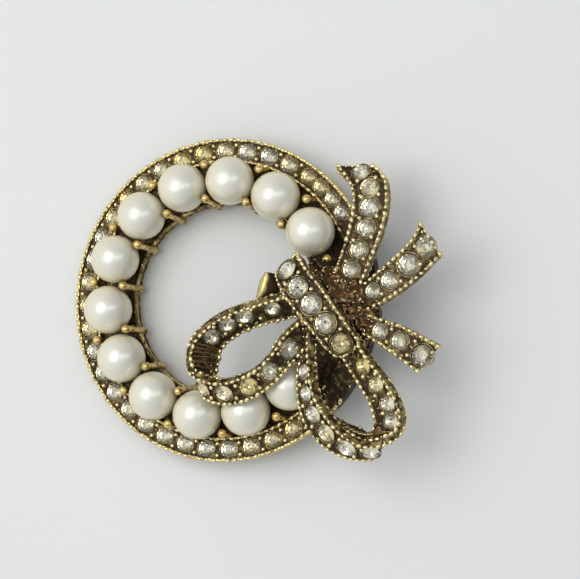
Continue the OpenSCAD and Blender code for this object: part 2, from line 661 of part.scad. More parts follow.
ring_casting();
bow_casting();
pin_back();
pearl(0);  // pearl_01
pearl(1);  // pearl_02
pearl(2);  // pearl_03
pearl(3);  // pearl_04
pearl(4);  // pearl_05
pearl(5);  // pearl_06
pearl(6);  // pearl_07
pearl(7);  // pearl_08
pearl(8);  // pearl_09
pearl(9);  // pearl_10
pearl(10);  // pearl_11
pearl(11);  // pearl_12
ring_stones();
ribbon_stones(knot, knot_gems);  // knot_stones
ribbon_stones(left_loop, left_loop_gems);  // left_loop_stones
ribbon_stones(lower_loop, lower_loop_gems);  // lower_loop_stones
ribbon_stones(tail_1, tail_1_gems);  // tail_1_stones
ribbon_stones(tail_2, tail_2_gems);  // tail_2_stones
ribbon_stones(tail_3, tail_3_gems);  // tail_3_stones
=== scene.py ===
"""Looks of the bow brooch. Metres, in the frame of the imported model.

The wreath and the bow are built in the wreath's own frame, with z = 0 at its flat back,
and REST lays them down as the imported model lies. A ribbon's rows are shares of its sizes,
as in the part's source.
"""
import math

import bmesh
import bpy
import numpy as np
from mathutils import Matrix, Vector, noise


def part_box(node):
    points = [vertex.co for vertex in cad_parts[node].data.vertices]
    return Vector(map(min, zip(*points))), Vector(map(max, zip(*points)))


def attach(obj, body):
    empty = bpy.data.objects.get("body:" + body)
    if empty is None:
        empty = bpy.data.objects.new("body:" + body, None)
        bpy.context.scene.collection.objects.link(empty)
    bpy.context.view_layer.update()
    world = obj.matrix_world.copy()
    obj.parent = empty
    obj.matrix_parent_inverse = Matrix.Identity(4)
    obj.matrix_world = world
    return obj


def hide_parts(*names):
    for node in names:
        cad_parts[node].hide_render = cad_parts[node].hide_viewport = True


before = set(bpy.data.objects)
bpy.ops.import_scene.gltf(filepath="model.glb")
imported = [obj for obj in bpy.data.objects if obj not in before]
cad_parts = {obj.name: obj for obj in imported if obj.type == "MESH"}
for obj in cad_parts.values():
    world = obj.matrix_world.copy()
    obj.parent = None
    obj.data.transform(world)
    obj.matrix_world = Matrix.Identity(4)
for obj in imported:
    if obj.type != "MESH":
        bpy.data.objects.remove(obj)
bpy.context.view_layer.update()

# Wreath
RING_R = 0.0199
OPENING_R = 0.0118
PLATE_T = 0.001
RIM_H = 0.00085
RIM_W = 0.0003
BED_DROP = 0.0003
BED_SPARE = 0.00005
LIP_W = 0.0004
LIP_H = 0.0003
# How dark the lip's sides are, and its corners at the opening
LIP_SHADE = 0.4
LIP_CORNER_SHADE = 0.6
GROOVE_D = 0.00012
# Groove in the opening's wall from below, as shares of the plate's thickness
GROOVE_LEVELS = (0.3, 0.45, 0.7, 0.85)
BEVEL = 0.00015
WREATH_EDGE_R = 0.00008
WREATH_STEPS = 360
# Degrees to each side that the bow covers, and over which patina and painted shade fade out
UNDER_BOW = 34
BOW_FADE = 8

# Pearls
PEARL_D = 0.006
PEARL_GAP = 0.00035
PEARL_OVERHANG = 0.00035
PEARL_LIFT = 0.0003
PEARL_COUNT = 12
FIRST_PEARL_DIR = 32
CUP_R = 0.0015
CUP_H = 0.0003
CUP_SINK = 0.0003
CUP_FLARE = 1.1
# Cup from outside in: [share of its radius, share of its rim's height]
CUP_PROFILE = [[1.05, 0.6], [1, 1], [0.9, 0.95], [0.3, 0.5]]
CUP_MIDDLE = 0.45

# Prongs
POST_R = 0.00042
BEAD_R = 0.000575
# Post from its foot upwards: [share of its radius, share of the prong's height]
POST_PROFILE = [[1.35, 0], [1.35, 0.06], [1.1, 0.2], [0.95, 0.45]]
POST_TOP = 0.92
BEAD_SINK = 0.85
# Degrees over which the bead's outline runs, from under its middle to near its top
BEAD_ARC = (-50, 88)
# How dark a prong is at its foot; it clears up towards its bead
PRONG_SHADE = 0.7
INNER_BEAD_Z = 0.0049
OUTER_BEAD_Z = 0.0043
INNER_BEAD_GAP = 0.00015
OUTER_BEAD_GAP = 0.00045
INNER_LEAN = 0.00045
OUTER_LEAN = 0.00015
END_PRONG_R = 0.015
END_PRONG_TURN = 15.4

# Cut stones
RING_STONE_D = 0.0021
RING_STONE_STEP = 0.00294
CLOSE_STONE_D = 0.0019
CLOSE_STONE_STEP = 0.0021
CLOSE_COUNT = 4
FIRST_STONE_DIR = 33.5
LAST_STONE_DIR = 310
TABLE_SHARE = 0.56
CROWN_SHARE = 0.17
PAVILION_SHARE = 0.28
GIRDLE_SHARE = 0.02
STAR_R = 0.39
GIRDLE_R = 0.5
BACK_R = 0.2
FACET_SHARE = 0.62
STONE_GAP = 0.00005
SEAT_GAP = 0.00009
SEAT_BRIM = 0.00025
SEAT_FLOOR = 0.6
SEAT_SHOULDER = 0.55
# Collar's section: [out from the stone, up, hollow], as shares of the stone's diameter
COLLAR_PROFILE = [[0.035, -0.06, 1], [0.09, -0.06, 1], [0.085, 0.035, 0.6],
                  [0.06, 0.05, 0.35], [0.04, 0.03, 0.8]]

# Bow
BOW_RISE = 0.010
BOW_DIR = -6
LOOP_T = 0.0008
TAIL_T = 0.001
RIBBON_RIM_H = 0.00013
RIBBON_RIM_W = 0.00042
RIB_H = 0.00022
RIB_W = 0.0002
RIB_REACH = 0.86
RIB_SLANT = 0.12
# Rib from end to end: [share of its half length, share of its half width]
RIB_PROFILE = [[-1, 0.05], [-0.97, 0.6], [-0.85, 1], [0, 1], [0.85, 1], [0.97, 0.6], [1, 0.05]]
KNOT_DIR = -49.5
KNOT_CROWN = 0.0004
KNOT_CORNER = 0.001
EDGE_R = 0.00012
CORNER_ROWS = 0.6
BAND_STEP = 0.12
# A ribbon's raised rims: their draft, and how dark they and the crown are
RIM_DRAFT = 0.98
RIM_SHADE = 0.7
CROWN_SHADE = 0.9

# Gathered middle of the bow; each hub is (share of the rise, radius)
FOOT_R = 0.00195
FOOT_BALL_R = 0.0006
FOOT_BALL_LIFT = 0.00066
FOOT_HUB = (0.5, 0.0012)
KNOT_HUB = (0.79, 0.0014)
KNOT_HUB_OUT = 0.0022
LOBE_HUB = (0.62, 0.0016)
LOOP_HUB = (0.75, 0.0012)
LOOP_ROOT_R = 0.0009
BALL_SPACING = 0.35
SKIN_CELL = 0.00014
SKIN_CALM = 4
LUMP_H = 0.00027
LUMP_SIZE = 0.0008
FINE_LUMPS = 2.3
PRESS_REACH = 0.0025

# Milgrain and other small beads
MILGRAIN_PITCH = 0.00076
MILGRAIN_BEAD = (0.00036, 0.00023, 0.00023)
RIM_PITCH = 0.00092
RIM_BEAD = (0.00042, 0.00023, 0.00023)
BEAD_TURN = 0.5
MILGRAIN_INSET = 0.42
MILGRAIN_TIP = 0.35
PATH_START = 0.1
PATH_POINTS = 10
END_REACH = 0.85
END_INSET = 0.04
RIM_INSET = 0.0001
RIM_SINK = 0.00003
RIM_TIP = 0.5
BAND_FLECKS = 130
MIDDLE_FLECKS = 200
WREATH_FLECKS = 420
FLECK_SEED = 11
FLECK_SHAPE = np.array([1.5, 0.6, 0.45])
FLECK_SCALE = (0.25, 0.65)
FLECK_SLOPE = 0.2
FLECK_FROM = 0.45
GRAIN_R = 0.0003
GRAIN_LIFT = 0.0001
GRAIN_ASIDE = 0.00072
GRAIN_SHARE = 0.5
# Turn between two stones of the wreath from which on there are grains between them
GRAIN_TURN = 8

# Pin
LEAN_DIR = math.radians(-14)
PIN_OUT = 0.0132
PIN_DROP = 0.003
KNUCKLE_R = 0.0011

# The photograph's view, in the wreath's frame
VIEW_TILT = math.radians(20.6)
VIEW_DIR = math.radians(-13.9)
VIEW_AIM = (0.00795, 0.00128)
VIEW_HEIGHT = 0.001
VIEW_DISTANCE = 0.280
LENS = 140.7
SENSOR_W = 36
CLIP_START = 0.01

# Table and room
TABLE_HALF = 1.2
ROOM_LIGHT = 0.94
# The room's brightness from left to right: (place, colour)
ROOM_SHADES = [(0.15, (0.87, 0.89, 0.92, 1)), (0.8, (0.38, 0.385, 0.385, 1))]
# Lights that face the brooch: (name, place, size, power, colour)
LIGHTS = [
    ("window", (-0.13, 0.05, 0.38), (0.30, 0.24), 0.66, (1.0, 0.99, 0.97)),
    ("fill", (0.16, 0.04, 0.30), (0.1, 0.3), 0.16, (0.97, 0.98, 1.0)),
]

# Patina with painted shade, and cast grain of the metal. Openness at which the patina and
# painted shade begin and are full; noise from which blotches begin and are full, and how
# much they take off and add
OPEN_RANGE = (0.9, 0.35)
BLOTCH_SCALE = 1500.0
BLOTCH_RANGE = (0.4, 0.7)
BLOTCH_REACH = (-0.5, 0.5)
GRAIN_SCALE = 2600.0
GRAIN_PITS = 0.5
GRAIN_DEPTH = 0.00006
DARKENED_METALLIC = 0.6

# Edges sharper than these many degrees stay sharp
PLATE_CREASE = 35
CUP_CREASE = 40
RIBBON_CREASE = 38
TAB_CREASE = 60
NO_CREASE = 180

# Making of the meshes
MERGE_GAP = 1e-7
AXIS_R = 0.00001
CORNER_REACH = 0.45
SEAT_STEPS = 20
PRONG_STEPS = 20
CUP_STEPS = 24
COLLAR_STEPS = 24
RIB_STEPS = 10
TAB_STEPS = 24
PEARL_STEPS = (64, 40)
RIM_POINTS = 361

# Worked out from the sizes above
RIM_Z = PLATE_T + RIM_H
BED_Z = RIM_Z - BED_DROP
PEARL_Z = PLATE_T + PEARL_LIFT + PEARL_D / 2
BED_HALF_W = RING_STONE_D / 2 + STONE_GAP + BED_SPARE
RING_STONE_R = RING_R - RIM_W - BED_HALF_W
INNER_RIM_R = RING_STONE_R - BED_HALF_W - RIM_W
PEARL_CIRCLE_R = OPENING_R + PEARL_D / 2 - PEARL_OVERHANG
PEARL_STEP = 2 * math.degrees(math.asin((PEARL_D + PEARL_GAP) / 2 / PEARL_CIRCLE_R))


def direction(degrees):
    """Level vector of length one at a direction of the wreath."""
    return np.array([math.cos(math.radians(degrees)), math.sin(math.radians(degrees)), 0.0])


BOW_AT = PEARL_CIRCLE_R * direction(BOW_DIR)
UP = np.array([0.0, 0.0, 1.0])
INNER = 1
OUTER = -1

# Ribbons: [A out, A aside, A up, B out, B aside, B up, spread]
LEFT_LOOP_ROWS = [
    [0.11, -0.26, 0.76, 0.13, -0.04, 0.56],
    [0.38, -0.34, 0.82, 0.36, -0.15, 0.54],
    [0.57, -0.38, 0.84, 0.52, -0.19, 0.55],
    [0.72, -0.37, 0.84, 0.66, -0.19, 0.54],
    [0.87, -0.30, 0.84, 0.79, -0.13, 0.53],
    [0.96, -0.17, 0.85, 0.84, -0.03, 0.53],
    [0.99, -0.02, 0.89, 0.93, 0.16, 0.60],
    [0.95, 0.11, 0.93, 1.00, 0.27, 0.69],
    [0.87, 0.22, 0.96, 0.96, 0.37, 0.75],
    [0.77, 0.30, 0.98, 0.86, 0.48, 0.79],
    [0.65, 0.33, 0.99, 0.73, 0.54, 0.82],
    [0.52, 0.33, 1.00, 0.60, 0.55, 0.84],
    [0.38, 0.26, 0.99, 0.46, 0.51, 0.84],
    [0.25, 0.14, 0.94, 0.32, 0.42, 0.80],
    [0.12, 0.07, 0.86, 0.15, 0.30, 0.72],
]
LOWER_LOOP_ROWS = [
    [0.14, -0.17, 0.84, 0.21, -0.30, 0.70, 0],
    [0.30, -0.25, 0.88, 0.31, -0.42, 0.72, 0.02],
    [0.43, -0.30, 0.89, 0.41, -0.49, 0.72, 0.06],
    [0.54, -0.31, 0.88, 0.52, -0.54, 0.69, 0.12],
    [0.66, -0.28, 0.84, 0.64, -0.55, 0.64, 0.18],
    [0.78, -0.21, 0.80, 0.78, -0.48, 0.60, 0.23],
    [0.88, -0.08, 0.78, 0.90, -0.31, 0.57, 0.23],
    [0.92, 0.10, 0.76, 0.96, -0.10, 0.54, 0.2],
    [0.91, 0.27, 0.73, 0.88, 0.05, 0.51, 0.07],
    [0.83, 0.38, 0.71, 0.76, 0.10, 0.53, 0],
    [0.71, 0.40, 0.70, 0.65, 0.12, 0.56, 0],
    [0.56, 0.36, 0.70, 0.52, 0.09, 0.56, 0],
    [0.41, 0.29, 0.68, 0.39, 0.05, 0.54, 0],
    [0.21, 0.22, 0.64, 0.24, 0.02, 0.52, 0],
]
TAIL_1_ROWS = [
    [0.13, -0.71, 0.54, 0.12, -0.09, 0.54],
    [0.34, -0.82, 0.59, 0.25, -0.03, 0.59],
    [0.57, -0.89, 0.61, 0.46, -0.08, 0.61],
    [0.75, -0.85, 0.60, 0.66, -0.03, 0.60],
    [0.90, -0.68, 0.57, 0.79, 0.12, 0.57],
    [0.98, -0.46, 0.51, 0.87, 0.37, 0.52],
    [1.02, -0.12, 0.42, 0.95, 0.82, 0.45],
]
TAIL_2_ROWS = [
    [0.14, -0.55, 0.50, 0.17, -0.10, 0.50],
    [0.27, -0.65, 0.56, 0.31, -0.05, 0.56],
    [0.43, -0.71, 0.60, 0.50, 0.03, 0.60],
    [0.63, -0.68, 0.62, 0.71, 0.14, 0.62],
    [0.81, -0.58, 0.61, 0.85, 0.30, 0.61],
    [0.94, -0.44, 0.56, 0.92, 0.51, 0.56],
]
TAIL_3_ROWS = [
    [0.18, -0.12, 0.48, 0.17, 0.25, 0.48],
    [0.30, -0.19, 0.54, 0.29, 0.31, 0.54],
    [0.45, -0.19, 0.59, 0.45, 0.37, 0.59],
    [0.66, -0.26, 0.61, 0.65, 0.45, 0.61],
    [0.87, -0.39, 0.56, 0.94, 0.42, 0.56],
]
KNOT_ROWS = [
    [-1.15, -0.33, 0.67, -1.13, 0.44, 0.67],
    [-0.96, -0.36, 0.82, -0.96, 0.43, 0.82],
    [-0.58, -0.43, 0.92, -0.58, 0.42, 0.92],
    [-0.20, -0.44, 0.95, -0.18, 0.43, 0.95],
    [0.20, -0.45, 0.95, 0.26, 0.39, 0.95],
    [0.58, -0.47, 0.93, 0.66, 0.34, 0.93],
    [0.87, -0.48, 0.88, 0.95, 0.29, 0.88],
    [1.12, -0.46, 0.74, 1.15, 0.25, 0.74],
]

# Stones of each ribbon: [place among its rows, share of the half width aside, diameter, face]
LEFT_LOOP_GEMS = [
    [0.68, 0.22, 0.0020, INNER], [1.62, 0.25, 0.00215, INNER], [2.5, 0.2, 0.00205, INNER],
    [3.5, 0.2, 0.0020, INNER], [7.4, 0, 0.0020, OUTER], [8.9, 0, 0.0022, OUTER],
    [10.4, 0, 0.0023, OUTER], [11.7, 0, 0.0021, OUTER], [13.0, 0, 0.0022, OUTER],
]
LOWER_LOOP_GEMS = [
    [1.25, 0, 0.0019, OUTER], [2.36, 0, 0.0019, OUTER], [3.5, 0, 0.0022, OUTER],
    [4.55, 0, 0.00235, OUTER], [5.6, 0, 0.00235, OUTER], [6.66, 0, 0.0022, OUTER],
    [8.9, 0.25, 0.0020, INNER], [9.85, 0.25, 0.0020, INNER], [10.8, 0.2, 0.0020, INNER],
    [11.75, 0.2, 0.0020, INNER],
]
TAIL_1_GEMS = [
    [1.0, 0, 0.0021, INNER], [1.65, 0, 0.00215, INNER], [2.38, 0, 0.0022, INNER],
    [3.2, 0, 0.00235, INNER], [4.25, 0, 0.0024, INNER], [5.45, 0, 0.0021, INNER],
]
TAIL_2_GEMS = [
    [1.5, -0.1, 0.0018, INNER], [2.3, 0, 0.0021, INNER], [3.22, 0, 0.0026, INNER],
    [4.35, 0, 0.0025, INNER],
]
TAIL_3_GEMS = [
    [2.2, 0, 0.0019, INNER], [3.05, 0, 0.00205, INNER], [3.75, 0, 0.0025, INNER],
]
KNOT_GEMS = [
    [1.2, 0, 0.0023, INNER], [2.35, 0, 0.0024, INNER], [3.45, 0, 0.00245, INNER],
    [4.6, 0, 0.0025, INNER], [6.1, 0, 0.0024, INNER],
]

# Ribbed stretch of each loop's tip: [from row, to row, ribs]
LEFT_RIBS = [4.1, 7.6, 12]
LOWER_RIBS = [4.3, 7.9, 16]

# Lobes gathered at the bow's middle: [direction, reach, share of the rise, radius]
CORE_LOBES = [
    [110, 0.0049, 0.42, 0.0009],
    [84, 0.0041, 0.45, 0.0010],
    [62, 0.0044, 0.49, 0.0013],
    [40, 0.0048, 0.50, 0.0011],
    [20, 0.0056, 0.49, 0.0012],
    [5, 0.0061, 0.50, 0.0011],
    [-10, 0.0061, 0.47, 0.0011],
    [-27, 0.0061, 0.48, 0.0012],
    [-46, 0.0060, 0.47, 0.0011],
    [-66, 0.0054, 0.50, 0.0010],
]
# Rolled tab beside the left loop: [x, y, share of the rise, half width], from the bow's middle
TAB_SPOTS = [
    [-0.00628, 0.00410, 0.75, 0.00032],
    [-0.00640, 0.00340, 0.76, 0.00070],
    [-0.00660, 0.00257, 0.76, 0.00086],
    [-0.00694, 0.00175, 0.75, 0.00078],
    [-0.00750, 0.00094, 0.73, 0.00052],
]
TAB_T = 0.0004
TAB_SPREAD = 0.9
TAB_ROLL = 2.5
# From where round its section the tab's rolled-down right side is dark: painted shade
TAB_SHADED_FROM = 0.1


def unit(v):
    """Vector of length one along v."""
    return v / np.linalg.norm(v)


def around(steps):
    """Angles at even steps round a full turn."""
    return np.linspace(0, 2 * math.pi, steps, endpoint=False)


def on_curve(rows, place):
    """Row at a place among rows, on a smooth curve through them."""
    last = len(rows) - 1
    i = max(0, min(int(math.floor(place)), last - 1))
    f = place - i
    a, b, c, d = rows[max(i - 1, 0)], rows[i], rows[i + 1], rows[min(i + 2, last)]
    return 0.5 * (2 * b + (c - a) * f + (2 * a - 5 * b + 4 * c - d) * f ** 2
                  + (3 * b - a - 3 * c + d) * f ** 3)


class Ribbon:
    """A band that follows rows of two edges; frames and sections are worked out from them."""

    def __init__(self, name, turn, size, rows, thick, crown, along, gems, corner=0.0):
        self.name = name
        self.out = direction(turn)
        self.aside = direction(turn + 90)
        self.size = size
        self.rows = np.array([row + [0] * (7 - len(row)) for row in rows])
        self.thick = thick
        self.crown = crown
        self.along = along
        self.gems = gems
        self.corner = corner
        self.last = len(rows) - 1

    def row(self, place):
        """Row at a place among the ribbon's rows."""
        return on_curve(self.rows, place)

    def edges(self, place):
        """Both edges' points at a place."""
        row = self.row(place)
        return [BOW_AT + row[k] * self.size[0] * self.out + row[k + 1] * self.size[1] * self.aside
                + row[k + 2] * self.size[2] * UP for k in (0, 3)]

    def frame(self, place):
        """Middle, direction along, direction across, inner normal and half width."""
        a, b = self.edges(place)
        across = unit(a - b)
        reach = 0.05
        after = sum(self.edges(min(place + reach, self.last))) / 2
        before = sum(self.edges(max(place - reach, 0))) / 2
        normal = unit(np.cross(across, after - before))
        middle = (a + b) / 2 - normal * self.along * (self.thick / 2 + RIBBON_RIM_H)
        from_end = min(place, self.last - place, CORNER_ROWS) / CORNER_ROWS
        cut = self.corner * (1 - math.sqrt(1 - (1 - from_end) ** 2))
        return middle, np.cross(normal, across), across, normal, np.linalg.norm(a - b) / 2 - cut

    def spread(self, place):
        """Level vector by which the inner face's far edge stands further in."""
        normal = self.frame(place)[3]
        level = unit(np.array([normal[0], normal[1], 0.0]))
        return max(self.row(place)[6], 0) * self.size[1] * level

    def face_point(self, place, aside, face, lift=0.0):
        """Point on a face, aside by a share of the half width, raised by lift."""
        middle, _, across, normal, half_w = self.frame(place)
        crown = self.crown * (1 - abs(aside)) if face == INNER else 0
        point = middle + across * half_w * aside + normal * face * (self.thick / 2 + crown + lift)
        if face == INNER:
            point = point + self.spread(place) * (1 - aside) / 2
        return point


LEFT_LOOP = Ribbon("left_loop", 205, (0.018, 0.012, BOW_RISE), LEFT_LOOP_ROWS,
                   LOOP_T, 0, OUTER, LEFT_LOOP_GEMS)
LOWER_LOOP = Ribbon("lower_loop", -68, (0.020, 0.013, BOW_RISE), LOWER_LOOP_ROWS,
                    LOOP_T, 0, OUTER, LOWER_LOOP_GEMS)
TAIL_1 = Ribbon("tail_1", 72, (0.0175, 0.005, BOW_RISE), TAIL_1_ROWS,
                TAIL_T, 0, INNER, TAIL_1_GEMS)
TAIL_2 = Ribbon("tail_2", 29, (0.0165, 0.005, BOW_RISE), TAIL_2_ROWS,
                TAIL_T, 0, INNER, TAIL_2_GEMS)
TAIL_3 = Ribbon("tail_3", -27, (0.016, 0.005, BOW_RISE), TAIL_3_ROWS,
                TAIL_T, 0, INNER, TAIL_3_GEMS)
KNOT = Ribbon("knot", KNOT_DIR, (0.006, 0.005, BOW_RISE), KNOT_ROWS,
              TAIL_T, KNOT_CROWN, INNER, KNOT_GEMS, KNOT_CORNER)
RIBBONS = [LEFT_LOOP, LOWER_LOOP, TAIL_1, TAIL_2, TAIL_3, KNOT]


def rest_matrix():
    """Lays the wreath's frame down on its left edge and its pin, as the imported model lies."""
    edge_r = RING_R - BEVEL
    tilt = (math.atan(PIN_DROP / (edge_r + PIN_OUT))
            + math.asin(KNUCKLE_R / math.hypot(edge_r + PIN_OUT, PIN_DROP)))
    axis = Vector((math.sin(LEAN_DIR), -math.cos(LEAN_DIR), 0))
    turn = Matrix.Rotation(tilt, 4, axis)
    pearl = Vector(PEARL_CIRCLE_R * direction(FIRST_PEARL_DIR) + PEARL_Z * UP)
    low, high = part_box("pearl_01")
    return Matrix.Translation((low + high) / 2 - turn @ pearl) @ turn


REST = rest_matrix()


# Meshes

def linked(name, data):
    """New object of a mesh, light or camera, in the scene."""
    thing = bpy.data.objects.new(name, data)
    bpy.context.scene.collection.objects.link(thing)
    return thing


def plain_mesh(thing):
    """The object's mesh with its modifiers in it."""
    bpy.context.view_layer.update()
    depsgraph = bpy.context.evaluated_depsgraph_get()
    return bpy.data.meshes.new_from_object(thing.evaluated_get(depsgraph), depsgraph=depsgraph)


def mesh_of(name, points, faces=(), edges=()):
    """Mesh of points with its faces or edges."""
    mesh = bpy.data.meshes.new(name)
    mesh.from_pydata([tuple(p) for p in points], list(edges), [tuple(f) for f in faces])
    mesh.update()
    return mesh


def outward(mesh):
    """Turns a closed mesh's faces outward, after its doubles are merged."""
    bm = bmesh.new()
    bm.from_mesh(mesh)
    bmesh.ops.remove_doubles(bm, verts=bm.verts, dist=MERGE_GAP)
    bmesh.ops.recalc_face_normals(bm, faces=bm.faces)
    bm.to_mesh(mesh)
    bm.free()
    return mesh


def give_values(mesh, name, values, kind="FLOAT"):
    """Gives each point of a mesh a named value or vector."""
    layer = mesh.attributes.new(name, kind, "POINT")
    field = "vector" if kind == "FLOAT_VECTOR" else "value"
    layer.data.foreach_set(field, np.array(values, np.float32).ravel())


def mesh_from(bm, name):
    """New mesh of a bmesh, which is freed."""
    mesh = bpy.data.meshes.new(name)
    bm.to_mesh(mesh)
    bm.free()
    return mesh


def only_finishes(mesh, finishes):
    """Gives a mesh these materials and no others."""
    mesh.materials.clear()
    for finish in finishes:
        mesh.materials.append(finish)


def drop_empty_slots(mesh):
    """Takes a mesh's empty material slots out."""
    if not any(mesh.materials):
        return
    kept = [i for i, material in enumerate(mesh.materials) if material]
    uses = [kept.index(face.material_index) if face.material_index in kept else 0
            for face in mesh.polygons]
    only_finishes(mesh, [mesh.materials[i] for i in kept])
    mesh.polygons.foreach_set("material_index", uses)


def piece(name, mesh, finishes, stands_for=(), smooth_below=None):
    """Finished piece from a mesh in the wreath's frame."""
    mesh.transform(REST)
    drop_empty_slots(mesh)
    if smooth_below is not None:
        mesh.shade_smooth()
        mesh.set_sharp_from_angle(angle=math.radians(smooth_below))
    if finishes:
        only_finishes(mesh, finishes)
    mesh.name = name
    thing = linked(name, mesh)
    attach(thing, "root")
    if stands_for:
        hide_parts(*stands_for)


def rounded(outline, radius, steps=3):
    """Closed outline with each corner rounded off over a few points."""
    points = np.array(outline, float)
    made = []
    for i, corner in enumerate(points):
        near_points = []
        for other in (points[i - 1], points[(i + 1) % len(points)]):
            length = np.linalg.norm((other - corner)[:2])
            near_points.append(corner + (other - corner) * min(radius / length, CORNER_REACH))
        start, end = near_points
        for t in np.linspace(0, 1, steps):
            made.append((1 - t) ** 2 * start + 2 * t * (1 - t) * corner + t ** 2 * end)
    return np.array(made)


def lofted(name, sections, closed=False, patina_shade_levels=None):
    """Closed mesh through rings of points; ends capped unless the sweep is closed."""
    count, sides = len(sections), len(sections[0])
    points = [p for ring in sections for p in ring]
    faces = []
    for j in range(count if closed else count - 1):
        k = (j + 1) % count
        for i in range(sides):
            n = (i + 1) % sides
            faces.append((j * sides + i, j * sides + n, k * sides + n, k * sides + i))
    if not closed:
        faces.append(tuple(range(sides - 1, -1, -1)))
        faces.append(tuple((count - 1) * sides + i for i in range(sides)))
    mesh = mesh_of(name, points, faces)
    if patina_shade_levels is not None:
        give_values(mesh, "hollow", np.broadcast_to(patina_shade_levels, (count, sides)))
    return outward(mesh)


def turned(name, profile, steps):
    """Closed mesh of a profile of (radius, height) turned round the z axis, its ends capped."""
    return lofted(name, [[(r * math.cos(t), r * math.sin(t), z) for t in around(steps)]
                         for r, z in profile])


# Node trees

def fill(tree, node, inputs):
    """Gives a node's inputs, by name or number, a value or a link from a socket."""
    for key, value in inputs.items():
        if isinstance(value, bpy.types.NodeSocket):
            tree.links.new(value, node.inputs[key])
        else:
            node.inputs[key].default_value = value


def add(tree, kind, inputs=None, **settings):
    """New node with its settings and its inputs filled."""
    node = tree.nodes.new(kind)
    for key, value in settings.items():
        setattr(node, key, value)
    fill(tree, node, inputs or {})
    return node


def new_tree(name, sizes):
    """Geometry tree with a geometry input, named size inputs and a material; and their sockets."""
    tree = bpy.data.node_groups.new(name, "GeometryNodeTree")
    tree.is_modifier = True
    tree.interface.new_socket("Geometry", in_out="INPUT", socket_type="NodeSocketGeometry")
    for label, kind in sizes:
        tree.interface.new_socket(label, in_out="INPUT", socket_type="NodeSocket" + kind)
    tree.interface.new_socket("Geometry", in_out="OUTPUT", socket_type="NodeSocketGeometry")
    source = tree.nodes.new("NodeGroupInput")
    end = tree.nodes.new("NodeGroupOutput")
    return tree, source.outputs, end.inputs[0]


def stored(tree, name, kind="FLOAT_VECTOR"):
    """Field of the values that a mesh keeps under a name."""
    return add(tree, "GeometryNodeInputNamedAttribute", {0: name}, data_type=kind).outputs[0]


def chance_between(tree, low, high, seed):
    """Field of random values, each between two bounds."""
    return add(tree, "FunctionNodeRandomValue", {2: low, 3: high, "Seed": seed},
               data_type="FLOAT").outputs[1]


def maths(tree, operation, a, b, **settings):
    """Result of an operation on two values."""
    return add(tree, "ShaderNodeMath", {0: a, 1: b}, operation=operation, **settings).outputs[0]


def scaled(tree, vector, share):
    """Vector times a value."""
    return add(tree, "ShaderNodeVectorMath", {0: vector, "Scale": share},
               operation="SCALE").outputs[0]


def painted(tree, shape, inputs):
    """Geometry with a material set on it."""
    return add(tree, "GeometryNodeSetMaterial", {0: shape, **inputs}).outputs[0]


def set_out(tree, points, shape, rotation, size):
    """Real copies of a shape on points."""
    place = add(tree, "GeometryNodeInstanceOnPoints", {
        "Points": points, "Instance": shape, "Rotation": rotation, "Scale": size})
    return add(tree, "GeometryNodeRealizeInstances", {0: place.outputs[0]}).outputs[0]


def facing_rotation(tree, along):
    """Rotation that stands z on the points' up vectors and turns x along a field."""
    turn = add(tree, "FunctionNodeAxesToRotation", {0: stored(tree, "up"), 1: along},
               primary_axis="Z", secondary_axis="X")
    return turn.outputs[0]


def beads_along_tree():
    """Tree that sets oval beads at even steps along each edge path."""
    tree, given, end = new_tree("beads_along_edges", [
        ("Pitch", "Float"), ("Bead Size", "Vector"), ("Unevenness", "Float"),
        ("Seed", "Int"), ("Material", "Material")])
    path = add(tree, "GeometryNodeMeshToCurve", {0: given["Geometry"]})
    steps = add(tree, "GeometryNodeResampleCurve",
                {"Curve": path.outputs[0], "Length": given["Pitch"]}, mode="LENGTH")
    low = maths(tree, "SUBTRACT", 1.0, given["Unevenness"])
    high = maths(tree, "ADD", 1.0, given["Unevenness"])
    size = scaled(tree, given["Bead Size"], chance_between(tree, low, high, given["Seed"]))
    bead = add(tree, "GeometryNodeMeshUVSphere", {"Segments": 8, "Rings": 5, "Radius": 1.0})
    smooth = add(tree, "GeometryNodeSetShadeSmooth", {0: bead.outputs[0]})
    tangent = add(tree, "GeometryNodeInputTangent")
    askew = chance_between(tree, -BEAD_TURN, BEAD_TURN, given["Seed"])
    about = add(tree, "FunctionNodeAxisAngleToRotation", {0: (0, 0, 1), "Angle": askew})
    facing = add(tree, "FunctionNodeRotateRotation",
                 {0: facing_rotation(tree, tangent.outputs[0]), 1: about.outputs[0]},
                 rotation_space="LOCAL")
    beads = set_out(tree, steps.outputs[0], smooth.outputs[0], facing.outputs[0], size)
    tree.links.new(painted(tree, beads, {"Material": given["Material"]}), end)
    return tree


def set_on_points_tree():
    """Tree that sets a shape on each point, by the point's up, along and size vectors.

    Faces of the shape that are marked foil get the second material."""
    tree, given, end = new_tree("shapes_on_seats", [
        ("Shape", "Object"), ("Size", "Float"), ("Material", "Material"),
        ("Foil Material", "Material")])
    shape = add(tree, "GeometryNodeObjectInfo", {"Object": given["Shape"]})
    copies = set_out(tree, given["Geometry"], shape.outputs["Geometry"],
                     facing_rotation(tree, stored(tree, "along")),
                     scaled(tree, stored(tree, "size"), given["Size"]))
    front = painted(tree, copies, {"Material": given["Material"]})
    foiled = painted(tree, front, {"Selection": stored(tree, "foil", "BOOLEAN"),
                                   "Material": given["Foil Material"]})
    tree.links.new(foiled, end)
    return tree


def grown(name, mesh, tree, **values):
    """Mesh that a node tree makes from a mesh, with its inputs set by their labels."""
    source = linked(name, mesh)
    modifier = source.modifiers.new("growth", "NODES")
    modifier.node_group = tree
    for item in tree.interface.items_tree:
        label = item.name.lower().replace(" ", "_")
        if item.in_out == "INPUT" and label in values:
            modifier[item.identifier] = values[label]
    source.update_tag()
    made = plain_mesh(source)
    source.modifiers.clear()
    bpy.data.objects.remove(source)
    return made


